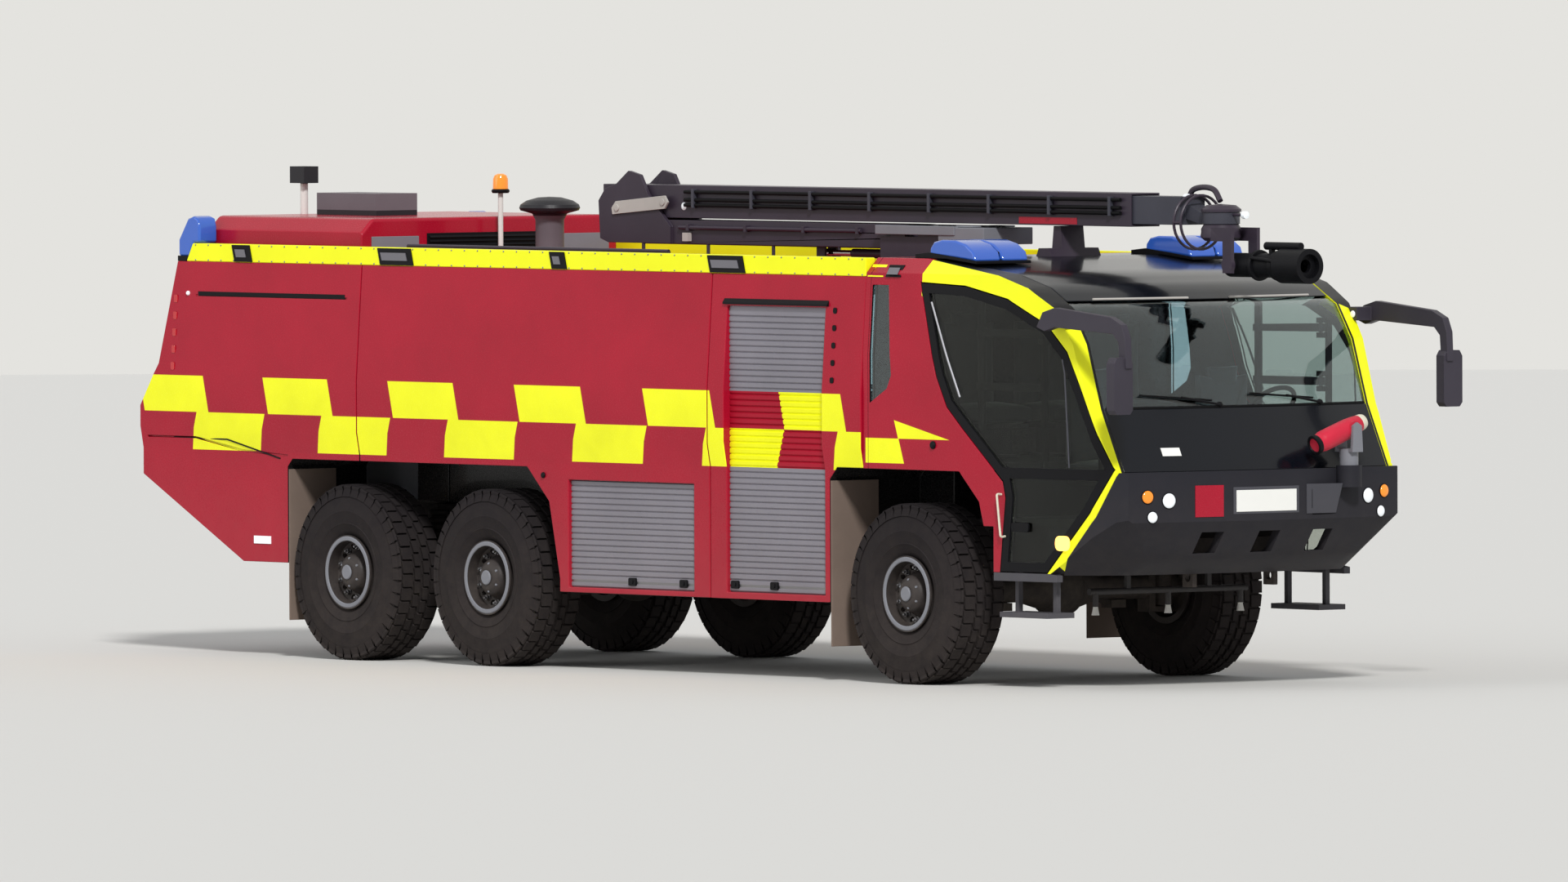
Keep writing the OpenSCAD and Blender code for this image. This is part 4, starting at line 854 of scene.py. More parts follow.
class TRUCK_OT_dress(bpy.types.Operator):
    """Finishes and rounded edges on the CAD parts that keep their shape."""

    bl_idname = "truck.dress"
    bl_label = "Painted parts"

    def execute(self, context):
        make_materials(colours())
        tree = edge_tree()
        for name, finish, bevel in DRESSED:
            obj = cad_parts[name]
            material = bpy.data.materials[finish]
            if obj.material_slots:
                obj.material_slots[0].material = material
            else:
                obj.data.materials.append(material)
            joined = obj.modifiers.new("Joined and shaded", "NODES")
            joined.node_group = tree
            set_inputs(joined, {"Finish": material})
            if bevel:
                round_edges(obj, bevel / 1000, 2, DRESS_TURN)
        return {"FINISHED"}


BEAD = 0.262  # radius of the tyre's foot
# The hub's fittings: radius of their ring, and place out from the wheel's middle plane
NUT_RING, NUT_OUT = 0.195, 0.088
BOLT_RING, BOLT_OUT = 0.105, 0.176
CAP_OUT, FLANGE_OUT = 0.203, 0.195


class TRUCK_OT_wheels(bpy.types.Operator):
    """Tyres with tread and sidewall rings, wheel nuts and hub caps."""

    bl_idname = "truck.wheels"
    bl_label = "Wheels"

    def execute(self, context):
        size = sizes()
        ring = ring_tree()
        radius = (TYRE_HIGH.x - TYRE_LOW.x) / 2
        half = (TYRE_HIGH.y - TYRE_LOW.y) / 2
        depth = size.groove
        run = 2 * math.pi * radius / size.treads
        block = Solids()
        for y0, y1, shift in ((-half + 0.035, -half + 0.135, 0.0), (-half + 0.148, -0.012, 0.5),
                              (0.012, half - 0.148, 0.0), (half - 0.135, half - 0.035, 0.5)):
            start = shift - 0.5
            a, b = run * (start + 0.07), run * (start + 0.93)
            skewed = [(a, y0), (b, y0 + 0.012), (b, y1), (a, y1 - 0.012)]
            foot = [(-depth - 0.01, u, v) for u, v in skewed]
            block.drawn(foot + [(-u * u / (2 * radius), u * 0.97, v) for u, v in skewed])
        # Shoulder lugs reach down the sidewall
        a, b = -0.42 * run, 0.42 * run
        for y0, y1 in ((-half + 0.006, -half + 0.03), (half - 0.03, half - 0.006)):
            middle, inner = (y0 + y1) / 2, min(y0, y1, key=abs)
            foot = [(-0.095, u, v) for u, v in rectangle(a, y0, b, y1)]
            block.drawn(foot + [(-0.02, a, middle), (-0.02, b, middle),
                                (-0.012, b, inner), (-0.012, a, inner)])
        tread = ringed(ring, block, "Tyre rubber", size.treads, radius)
        # The tyre's section from its foot to the tread: radius, and place in from the sidewall
        section = [(BEAD, 0.07), (BEAD + 0.035, 0.045), (BEAD + 0.06, 0.028), (BEAD + 0.1, 0.014),
                   (BEAD + 0.112, 0.006), (BEAD + 0.118, 0.012), (BEAD + 0.2, 0.002), (BEAD + 0.206, 0.0),
                   (BEAD + 0.214, 0.004), (radius - 0.11, 0.01), (radius - 0.09, 0.016),
                   (radius - 0.05, 0.022), (radius - depth - 0.004, 0.05), (radius - depth, 0.09)]
        section = [(r, place - half) for r, place in section]
        section += [(r, -y) for r, y in reversed(section)]
        nut = Solids()
        hexagon = [polar(0.019, 60 * i) for i in range(6)]
        nut.prism(hexagon, "z", 0.0, 0.03)
        nut.prism([(x * 1.3, y * 1.3) for x, y in hexagon], "z", 0.0, 0.006)
        nut.turned([(0.0, 0.05), (0.008, 0.05), (0.01, 0.046), (0.01, 0.0), (0.0, 0.0)],
                   (0, 0, 0), (0, 0, 1), 10)
        nuts = ringed(ring, nut, "Machined steel", size.nuts, NUT_RING)
        for corner, x, side in WHEELS:
            letter, word = SIDE[side]
            body = f"wheel_{corner}_{word}"
            middle, nut_place, cap_place, flange = (
                (x, side * (WHEEL_Y + out), HUB_Z) for out in (0.0, NUT_OUT, CAP_OUT, FLANGE_OUT))
            tyre = Solids()
            tyre.turned(section, middle, (0, 1, 0), 72)
            tyre.mesh(tread, middle, spin(90, "X"))
            made = tyre.piece(f"tread_tyre_{corner}_{letter}", "Tyre rubber", body, "tyre_rubber", angle=28)
            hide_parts(f"tyre_{corner}_{letter}")
            # Nuts stand between the rim's hand holes
            hub = Solids()
            hub.mesh(nuts, nut_place, spin(-90 * side, "X") @ spin(18, "Z"))
            hub.piece(f"wheel_nuts_{corner}_{letter}", "Machined steel", body, "rim_paint", angle=30)
            cap = Solids()
            cap.turned([(0.0, 0.0), (0.0, 0.012), (0.05, 0.012), (0.056, 0.006), (0.056, 0.0)],
                       cap_place, (0, side, 0), 24)
            for i in range(6):
                u, v = polar(BOLT_RING, 60 * i + 30)
                cap.turned([(0.0, 0.0), (0.0, 0.012), (0.009, 0.012), (0.011, 0.0)],
                           (x + u, side * (WHEEL_Y + BOLT_OUT), HUB_Z + v), (0, side, 0), 8)
            # Lighter ring on the rim's flange
            cap.turned([(0.242, 0.0), (0.272, 0.0), (0.276, 0.006), (0.268, 0.012), (0.246, 0.012),
                        (0.24, 0.006)], flange, (0, side, 0), 64)
            cap.piece(f"hub_trim_{corner}_{letter}", "Epoxy paint, light grey", body, "rim_paint", 0.0015, 1)
        return {"FINISHED"}


# The blue bars over the cab: where each starts and ends across the truck
BLUE_BARS = ((0.785, 1.035), (1.05, 1.3))
# Marker lamps on the roof edge: where each starts and ends along the truck
MARKERS = ((-8.2, -7.98), (-6.37, -5.96), (-4.25, -4.07), (-2.33, -1.91))
MARKER_LEAN = 0.035
BUMPER_LAMPS = [  # place across, height, radius, lens
    (1.14, 1.44, 0.052, "amber"), (0.96, 1.41, 0.06, "clear"), (1.1, 1.29, 0.046, "clear")]
BUMPER_X = 2.54  # the bumper's face on the middle plane
REAR_LAMPS = [(1.05, "clear"), (1.17, "amber"), (1.29, "red")]  # place across, lens
REAR_FOOT, REAR_LENS, REAR_Z = -9.3415, -9.347, 1.56
BEACON_FOOT = (-6.72, 0, 0)
CAB_CORNER = "cab_sides cab_roof cab_rear_wall"


class TRUCK_OT_lamps(bpy.types.Operator):
    """Blue bars and corner lamps, beacon, markers, headlamps and rear lamps."""

    bl_idname = "truck.lamps"
    bl_label = "Lamps"

    def execute(self, context):
        blue, clear, amber, red, smoked, base = (Solids() for _ in range(6))
        lenses = {"clear": clear, "amber": amber, "red": red}
        for y0, y1 in BLUE_BARS:
            blue.prism([(0.1, 3.2), (0.105, 3.25), (0.15, 3.295), (0.24, 3.31), (0.4, 3.308), (0.52, 3.28),
                        (0.61, 3.225), (0.64, 3.155), (0.4, 3.178)], "y", y0, y1)
        base.prism([(-0.06, 3.1705), (0.3, 3.1705), (0.66, 3.135), (0.66, 3.155), (0.4, 3.185),
                    (0.1, 3.215), (-0.06, 3.2)], "y", 0.78, 1.305)
        base.prism([(0.11, 3.2), (0.16, 3.28), (0.4, 3.292), (0.6, 3.22), (0.6, 3.16)], "y", 1.036, 1.049)
        # Corner lamps over the rear edge, standing on a dark foot
        blue.prism([(-8.926, 3.07), (-8.795, 3.07), (-8.735, 3.176), (-8.66, 3.176), (-8.66, 3.3),
                    (-8.68, 3.36), (-8.74, 3.38), (-8.81, 3.36), (-8.926, 3.197)], "y", 1.26, 1.436)
        base.prism([(-8.93, 3.0305), (-8.822, 3.0305), (-8.795, 3.072), (-8.93, 3.072)], "y", 1.255, 1.44)
        for x0, x1 in MARKERS:
            outer = [(x0, 3.034), (x1, 3.034), (x1 - MARKER_LEAN, 3.164), (x0 - MARKER_LEAN, 3.164)]
            inner = [(x0 + 0.03, 3.07), (x1 - 0.07, 3.07), (x1 - 0.09, 3.13), (x0 + 0.01, 3.13)]
            base.side_plate("roof_edges", outer, -0.001, 0.012)
            smoked.side_plate("roof_edges", inner, 0.01, 0.0165)
        # The last marker stands at the cab's rear top corner
        outer = [(-0.235, 3.03), (-0.06, 3.03), (-0.08, 3.12), (-0.255, 3.12)]
        inner = [(-0.215, 3.05), (-0.09, 3.05), (-0.105, 3.1), (-0.23, 3.1)]
        base.side_plate(CAB_CORNER, outer, -0.001, 0.012)
        smoked.side_plate(CAB_CORNER, inner, 0.01, 0.0165)
        for y, z, r, kind in BUMPER_LAMPS:
            x = bow(BUMPER_X, y)
            way = Vector((1, y / NOSE_RADIUS, 0)).normalized()
            lenses[kind].dome(r - 0.004, 0.02, (x - 0.002, y, z), way, 32)
            base.turned([(r - 0.006, -0.012), (r + 0.001, -0.012), (r + 0.001, 0.004), (r - 0.002, 0.008),
                         (r - 0.006, 0.004)], (x, y, z), way, 32)
        for y, kind in REAR_LAMPS:
            lenses[kind].dome(0.046, 0.012, (REAR_LENS, y, REAR_Z), (-1, 0, 0), 32)
            base.turned([(0.0, 0.0), (0.05, 0.0), (0.05, 0.006), (0.0, 0.006)],
                        (REAR_FOOT, y, REAR_Z), (-1, 0, 0), 32)
        # Small lamps on the inner face of each mirror arm's root
        for x in (1.73, 1.805):
            clear.dome(0.026, 0.012, (x, 1.3798, 2.738), (0, -1, 0), 20)
        for solids in (blue, clear, amber, red, smoked, base):
            solids.both_sides()
        # The beacon stands on the middle line
        amber.turned([(0.0, 3.592), (0.06, 3.592), (0.058, 3.67), (0.046, 3.698), (0.024, 3.71), (0.0, 3.71)],
                     BEACON_FOOT, (0, 0, 1), 32)
        base.turned([(0.0, 3.5603), (0.062, 3.5603), (0.07, 3.572), (0.07, 3.584), (0.06, 3.592),
                     (0.0, 3.592)], BEACON_FOOT, (0, 0, 1), 32)
        made = blue.piece("blue_lenses", "Lens, blue", slot="lamp_glass", bevel=0.02, steps=4, angle=60)
        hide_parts("lamps")
        base.piece("lamp_housings", "Moulded plastic, black", slot="black_plastic", bevel=0.002)
        clear.piece("clear_lenses", "Lens, clear", slot="lamp_glass")
        amber.piece("amber_lenses", "Lens, amber", slot="lamp_glass", bevel=0.0015)
        red.piece("red_lenses", "Lens, red", slot="lamp_glass")
        smoked.piece("marker_lenses", "Lens, smoked", slot="lamp_glass")
        return {"FINISHED"}


# Roof plates: where each starts and ends along the truck; the lids' middles; rows of rivets
DECKS = ((-6.35, -5.3), (-5.28, -4.25), (-4.23, -3.2))
LIDS = (-2.75, -1.0)
RIVET_ENDS, RIVET_ROWS = (-8.7, -0.52), (3.042, 3.158)


class TRUCK_OT_body(bpy.types.Operator):
    """Latches, bars and marks on the body's sides, roof plates and fasteners."""

    bl_idname = "truck.body"
    bl_label = "Body fittings"

    def execute(self, context):
        steel, dark, white, marks = (Solids() for _ in range(4))
        # Bars along the shutters' feet, with two latches each
        for x0, x1, z, latches in (
            (-4.02, -2.52, 0.655, (-3.28, -2.66)), (-2.1, -0.95, 0.665, (-2.04, -1.57)),
        ):
            y = left_y("shutters", (x0 + x1) / 2, z + 0.02)
            steel.prism([(y - 0.004, z), (y + 0.008, z + 0.006), (y + 0.01, z + 0.034),
                         (y - 0.004, z + 0.044)], "x", x0, x1)
            for x in latches:
                dark.slab((x, z + 0.03), (0.09, 0.06), 0.012, "y", y + 0.004, y + 0.024, 3)
                dark.slab((x, z + 0.03), (0.03, 0.03), 0.012, "y", y + 0.02, y + 0.03, 3)
        # Hood over the tall shutter, hinge marks beside it and red marks at the rear edge
        y = side_y(2.82)
        dark.prism([(y - 0.002, 2.8), (y + 0.02, 2.8), (y + 0.02, 2.815), (y - 0.002, 2.845)],
                   "x", -2.15, -0.9)
        for i in range(5):
            z = 2.77 - 0.13 * i
            y = left_y("mid_module locker_module", -0.82, z)
            dark.slab((-0.82, z), (0.045, 0.045), 0.016, "y", y, y + 0.006, 3)
            y = left_y("rear_module", -8.92, z - 0.03)
            marks.slab((-8.925, z - 0.03), (0.045, 0.06), 0.012, "y", y, y + 0.006, 3)
        # Knobs, and a reflector low behind the rear wheel
        for x, z, size, solids in ((-8.77, 2.785, 0.035, white), (-4.33, 1.47, 0.045, dark)):
            y = left_y("rear_module mid_module locker_module", x, z)
            solids.turned([(0.0, 0.0), (size / 2, 0.0), (size / 2, 0.01), (size / 3, 0.018), (0.0, 0.018)],
                          (x, y, z), (0, 1, 0), 20)
        white.side_plate("rear_module", rectangle(-7.93, 0.87, -7.72, 0.93), -0.001, 0.008)
        # Dark gutter over the rear side, and the line of its hatch
        dark.side_plate("rear_module", rectangle(-8.65, 2.765, -6.8, 2.8), -0.001, 0.004)
        hatch = [(-8.95, 1.67), (-8.25, 1.665), (-7.85, 1.58), (-7.6, 1.53)]
        dark.tube(on_side("rear_module", hatch, 0.001), 0.007, 6)
        for solids in (steel, dark, white, marks):
            solids.both_sides()
        marks.piece("rear_edge_marks", "Lens, red", slot="lamp_glass", bevel=0.0015)
        steel.piece("shutter_bars", "Machined steel", slot="shutter_aluminium", bevel=0.002)
        dark.piece("body_latches", "Moulded plastic, black", slot="black_plastic", bevel=0.002)
        white.piece("body_reflectors", "Lens, clear", slot="lamp_glass", bevel=0.0015)

        # Roof: tread plates between the rails, and hatches with lids
        deck, lids = Solids(), Solids()
        top = SIDE_TOP + 0.005
        for x0, x1 in DECKS:
            for side in (-1, 1):
                low, high = sorted((side * 0.62, side * 1.12))
                deck.box((x0, low, SIDE_TOP - 0.001), (x1, high, top))
                for i in range(9):
                    a = x0 + 0.06 + i * (x1 - x0 - 0.12) / 8
                    for j in range(5):
                        b = side * (0.66 + 0.105 * j)
                        lean = 0.016 * (0.7 if (i + j) % 2 else -0.7)
                        deck.tube([(a - 0.016, b - lean, top), (a + 0.016, b + lean, top)], 0.0035, 6)
        for x in LIDS:
            for y in (0.86, -0.86):
                lids.slab((x, y), (0.5, 0.42), 0.05, "z", SIDE_TOP - 0.001, SIDE_TOP + 0.025)
        deck.piece("roof_deck", "Aluminium tread plate", slot="shutter_aluminium")
        lids.piece("roof_lids", "Two-pack paint, black", slot="roof_paint", bevel=0.006)

        # Rivets along the roof edge, set out by a path
        line = bmesh.new()
        for side in (-1, 1):
            for z in RIVET_ROWS:
                y = side * left_y("roof_edges", -5.4, z)
                line.edges.new([line.verts.new((x, y, z)) for x in RIVET_ENDS])
        path = bpy.data.meshes.new("rivet lines")
        line.to_mesh(path)
        line.free()
        heads = Solids()
        heads.mesh(grown(path_tree(), path, {
            "Spacing": sizes().rivet_spacing, "Head": 0.007, "Finish": bpy.data.materials["Machined steel"]}))
        heads.piece("roof_edge_rivets", "Machined steel", slot="edge_paint")

        # Front face of the roof cover: a louvred dark panel between two pale ones
        louvres, pale = Solids(), Solids()
        face = reach("roof_cover", (-5.0, 0.6, 3.2), (-1, 0, 0)).x
        louvres.box((face - 0.001, -0.62, 3.05), (face + 0.006, 0.62, 3.26))
        for i in range(6):
            z = 3.065 + 0.032 * i
            louvres.prism([(face + 0.005, z), (face + 0.022, z), (face + 0.016, z + 0.012),
                           (face + 0.005, z + 0.018)], "y", -0.6, 0.6)
        for side in (-1, 1):
            low, high = sorted((side * 0.7, side * 1.16))
            pale.box((face - 0.001, low, 3.06), (face + 0.008, high, 3.24))
        louvres.piece("cover_louvres", "Moulded plastic, black", slot="black_plastic", bevel=0.002)
        pale.piece("cover_panels", "Epoxy paint, light grey", slot="edge_paint", bevel=0.004)
        return {"FINISHED"}


class TRUCK_OT_cab(bpy.types.Operator):
    """Seal, handles, wipers, mirror glass, plates and door trim outside the cab."""

    bl_idname = "truck.cab"
    bl_label = "Cab fittings"

    def execute(self, context):
        rubber, white, dark = Solids(), Solids(), Solids()
        # Seal under the windscreen
        screen = "cab_glass cab_front cab_roof cab_sides"
        sill = [(y / 100, 2.085) for y in range(-124, 125, 8)]
        rubber.tube(smooth_path(on_front(screen, sill, 0.004), 2), 0.012, 8)
        # Wipers: an arm from the scuttle and a blade on the glass
        for y0, y1 in ((-0.25, -0.95), (0.75, 0.05)):
            arm = on_front(screen, [(y0, 2.1), ((y0 + y1) / 2, 2.16)], 0.03)
            sweep = [(y0 + (y1 - y0) * t, 2.13 + 0.05 * t) for t in (0.1, 0.4, 0.7, 1.0)]
            blade = on_front(screen, sweep, 0.016)
            dark.tube(arm, 0.009, 8)
            rubber.tube(smooth_path(blade, 3), 0.008, 6)
            dark.dome(0.024, 0.03, on_front(screen, [(y0, 2.1)], 0.002)[0], (1, 0, 0), 16)
        rubber.piece("screen_seal", "Sealing rubber", slot="black_plastic")
        dark.piece("wipers", "Moulded plastic, black", slot="black_plastic")

        # Blank number plate on its backing, and a red square beside it
        plates = {"white": Solids(), "red": Solids(), "grey": Solids()}
        for kind, y0, y1, z0, z1, out in (
            ("grey", -0.39, 0.235, 1.3, 1.5, 0.004), ("white", -0.365, 0.206, 1.317, 1.477, 0.009),
            ("red", -0.733, -0.481, 1.284, 1.518, 0.006),
        ):
            line = [(front_x("bumper", y, (z0 + z1) / 2), y) for y in (y0, (y0 + y1) / 2, y1)]
            ring = [(x + out, y) for x, y in line] + [(x - 0.004, y) for x, y in reversed(line)]
            plates[kind].prism(ring, "z", z0, z1)
        # Grey hatch with two dark slots beside the plate
        hatch, slots = Solids(), Solids()
        hatch.front_plate("bumper", rectangle(0.31, 1.29, 0.61, 1.51), -0.003, 0.008)
        for y in (0.36, 0.5):
            slots.front_plate("bumper", rectangle(y, 1.33, y + 0.06, 1.47), 0.006, 0.011)
        hatch.piece("bumper_hatch", "Moulded plastic, grey", slot="bumper_plastic", bevel=0.002)
        slots.piece("bumper_hatch_slots", "Moulded plastic, black", slot="black_plastic")
        plates["grey"].piece("plate_backing", "Moulded plastic, grey", slot="bumper_plastic", bevel=0.003)
        plates["white"].piece("number_plate", "Moulded plastic, white", slot="bumper_plastic", bevel=0.002)
        plates["red"].piece("bumper_square", "Two-pack paint, red", slot="body_paint", bevel=0.002)

        # Cab side: grab handle and knob
        skin = "steps cab_sides cab_arcs door_glass_l bumper door_l"
        foot, head = map(Vector, on_side(skin, [(1.13, 1.44), (1.17, 1.13)]))
        out = Vector((0, 0.045, 0))
        white.tube(smooth_path([
            foot, foot + out * 0.9, foot.lerp(head, 0.12) + out, foot.lerp(head, 0.5) + out,
            foot.lerp(head, 0.88) + out, head + out * 0.9, head], 4), 0.0085, 10)
        white.both_sides()
        white.piece("cab_handles", "Moulded plastic, cream", slot="edge_paint")
        knobs = Solids()
        knobs.turned([(0.0, 0.0), (0.03, 0.0), (0.03, 0.01), (0.02, 0.02), (0.0, 0.02)],
                     on_side("cab_sides cab_arcs", [(0.36, 1.79)])[0], (0, 1, 0), 20)
        knobs.both_sides()
        # A short piece of the yellow band before the cab's marker lamp
        band = Solids()
        band.side_plate(CAB_CORNER, [(-0.45, 3.03), (-0.27, 3.03), (-0.29, 3.12), (-0.455, 3.12)],
                        -0.001, 0.006)
        band.both_sides()
        band.piece("cab_band", "Reflective film, yellow", slot="edge_paint")
        # Pale bars under the visor, a painted highlight along the windscreen's top edge, and a small white
        # plate on the nose
        bar = Solids()
        line = [(y / 100, 2.885) for y in range(-104, -19, 12)]
        bar.tube(on_front("cab_roof cab_glass cab_arcs", line, 0.012), 0.009, 8)
        bar.both_sides()
        bar.piece("visor_highlight_bars", "Epoxy paint, pale", slot="roof_paint")
        plate = Solids()
        plate.front_plate("cab_front bumper", rectangle(-0.9, 1.735, -0.74, 1.795), -0.002, 0.006)
        plate.piece("nose_plate", "Moulded plastic, white", slot="bumper_plastic", bevel=0.001)
        knobs.piece("cab_knobs", "Moulded plastic, black", slot="black_plastic", bevel=0.002)

        # Mirror glass on the housings' rear faces
        glass = Solids()
        for z0, z1 in ((2.1, 2.26), (2.28, 2.44)):
            glass.slab((1.59, (z0 + z1) / 2), (0.15, z1 - z0), 0.02, "x", 2.6165, 2.6205)
        glass.both_sides()
        glass.piece("mirror_glass", "Mirror silver", slot="glass")

        # Door: the upright seam, a silver strip, the handle and the lit lamp move with it
        for side in (1, -1):
            letter, word = SIDE[side]
            body = f"door_{word}"
            skin = f"door_glass_{letter} door_{letter}"
            seam, strip, grip, lit = (Solids() for _ in range(4))

            def at(x, z, out):
                hit = reach(skin, (x, side * BESIDE, z), (0, -side, 0))
                return (x, hit.y + side * out, z)

            seam.tube([at(1.79 + 0.05 * t / 8, 2.45 - 0.8 * t / 8, 0.002) for t in range(9)], 0.007, 6)
            strip.tube([at(0.3 + 0.36 * t / 8, 2.85 - 0.7 * t / 8, 0.003) for t in range(9)], 0.009, 8)
            faces = sorted(at(1.33, 1.2, out)[1] for out in (0.0, 0.018))
            grip.slab((1.33, 1.2), (0.2, 0.07), 0.02, "y", *faces)
            faces = sorted(at(1.785, 1.09, out)[1] for out in (-0.001, 0.014))
            lit.slab((1.79, 1.09), (0.16, 0.11), 0.045, "y", *faces)
            lit.piece(f"door_lamp_{letter}", "Lens, lit amber", body, "lamp_glass", 0.003)
            seam.piece(f"door_seam_{letter}", "Moulded plastic, grey", body, "black_plastic")
            strip.piece(f"door_strip_{letter}", "Machined steel", body, "shutter_aluminium")
            grip.piece(f"door_handle_{letter}", "Moulded plastic, black", body, "black_plastic", 0.004)
        return {"FINISHED"}


# A cushion's seams: places across and along from its middle, width and depth, as parts of its half size
SEAM_V, SEAM_U, SEAM_WIDTH, SEAM_DEPTH = 0.62, 0.8, 0.05, 0.12
# Places of the seats' feet
SEATS = [(1.18, 0.62, 1.27), (1.18, -0.62, 1.27), (-0.18, 0.7, 1.67), (-0.18, 0.0, 1.67), (-0.18, -0.7, 1.67)]


def cushion(size, crown, pull, cells):
    """A stuffed pad: both broad faces crowned, the sides pulled in between the corners."""
    bm = bmesh.new()
    bmesh.ops.create_cube(bm, size=2.0)
    bmesh.ops.subdivide_edges(bm, edges=bm.edges[:], cuts=cells - 1, use_grid_fill=True)
    for vert in bm.verts:
        u, v, w = vert.co
        swell = (1 - u * u) * (1 - v * v)
        roll = 1 - 0.1 * w ** 6
        x = u * (1 - pull * (1 - v * v) * abs(u) ** 3) * roll
        y = v * (1 - pull * (1 - u * u) * abs(v) ** 3) * roll
        z = w * (1 + crown * swell - 0.12 * (abs(u) ** 8 + abs(v) ** 8))
        # Seams are pressed into both broad faces
        seam = math.exp(-((abs(v) - SEAM_V) / SEAM_WIDTH) ** 2)
        if abs(v) < SEAM_V:
            seam += math.exp(-((abs(u) - SEAM_U) / SEAM_WIDTH) ** 2)
        if abs(w) > 0.9:
            z -= SEAM_DEPTH * w * seam
        vert.co = (x * size[0], y * size[1], z * size[2])
    mesh = bpy.data.meshes.new("pad")
    bm.to_mesh(mesh)
    bm.free()
    return mesh


class TRUCK_OT_seats(bpy.types.Operator):
    """Five seats: pedestals, stuffed cushions with seams, head rests and belts."""

    bl_idname = "truck.seats"
    bl_label = "Seats"

    def execute(self, context):
        frames, belts = Solids(), Solids()
        base = cushion((0.235, 0.245, 0.07), 0.32, 0.05, 14)
        back = cushion((0.315, 0.235, 0.05), 0.4, 0.06, 14)
        head = cushion((0.085, 0.14, 0.045), 0.4, 0.08, 8)
        upright = spin(-90, "Y")
        for i, (x, y, z) in enumerate(SEATS, 1):
            pad, rest = Solids(), Solids()
            pad.mesh(base, (x + 0.23, y, z + 0.33))
            rest.mesh(back, (x - 0.005, y, z + 0.7), upright)
            rest.mesh(head, (x - 0.005, y, z + 0.995), upright)
            made = pad.piece(f"seat_cushion_{i}", "Woven seat cloth", slot="seat_cloth")
            if i == 1:
                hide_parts("seats")
            rest.piece(f"seat_back_{i}", "Woven seat cloth", slot="seat_cloth")
            # Pedestal on its rails, and the frame under and behind the cushion
            frames.box((x + 0.05, y - 0.17, z + 0.002), (x + 0.41, y + 0.17, z + 0.03))
            frames.box((x + 0.1, y - 0.13, z + 0.03), (x + 0.36, y + 0.13, z + 0.22))
            frames.box((x + 0.01, y - 0.22, z + 0.22), (x + 0.45, y + 0.22, z + 0.262))
            frames.box((x - 0.045, y - 0.2, z + 0.23), (x + 0.02, y + 0.2, z + 0.4))
            points = smooth_path([
                (x + 0.052, y + 0.17, z + 1.0), (x + 0.062, y + 0.06, z + 0.75),
                (x + 0.064, y - 0.1, z + 0.5), (x + 0.06, y - 0.2, z + 0.41)], 5)
            edges = Vector((0.012, 0.018, 0.018)), Vector((0.012, -0.018, -0.018))
            belts.panel([[p + edge for edge in edges] for p in points], 0.002)
        frames.piece("seat_frames", "Epoxy paint, chassis", slot="seat_cloth", bevel=0.006)
        belts.piece("seat_belts", "Seat belt webbing", slot="seat_cloth")
        # Displays on the dashboard, with a hood over them
        shown, hood = Solids(), Solids()
        for y, w in ((0.62, 0.36), (0.05, 0.28), (-0.5, 0.28)):
            shown.slab((y, 0.0), (w, 0.14), 0.015, "x", 0.0, 0.006)
        for vert in shown.bm.verts:
            vert.co = spin(-18, "Y") @ vert.co + Vector((1.872, 0, 1.86))
        shown.piece("dash_displays", "Display glass", slot="glass", bevel=0.002)
        hood.prism([(1.89, 1.98), (2.06, 2.016), (2.02, 2.05), (1.9, 2.03)], "y", 0.38, 0.86)
        hood.piece("dash_hood", "Moulded plastic, grey", slot="black_plastic", bevel=0.01)
        return {"FINISHED"}


# Half widths of the boom's sections
UPPER_Y, LOWER_Y = 0.1395, 0.1545
# Where the nozzles turn, and how far below the level the stowed one points
TURRET_PIVOT, STOWED_PIVOT, STOWED_DIP = (2.16, 0, 3.13), (2.56, 0.7, 1.915), 20


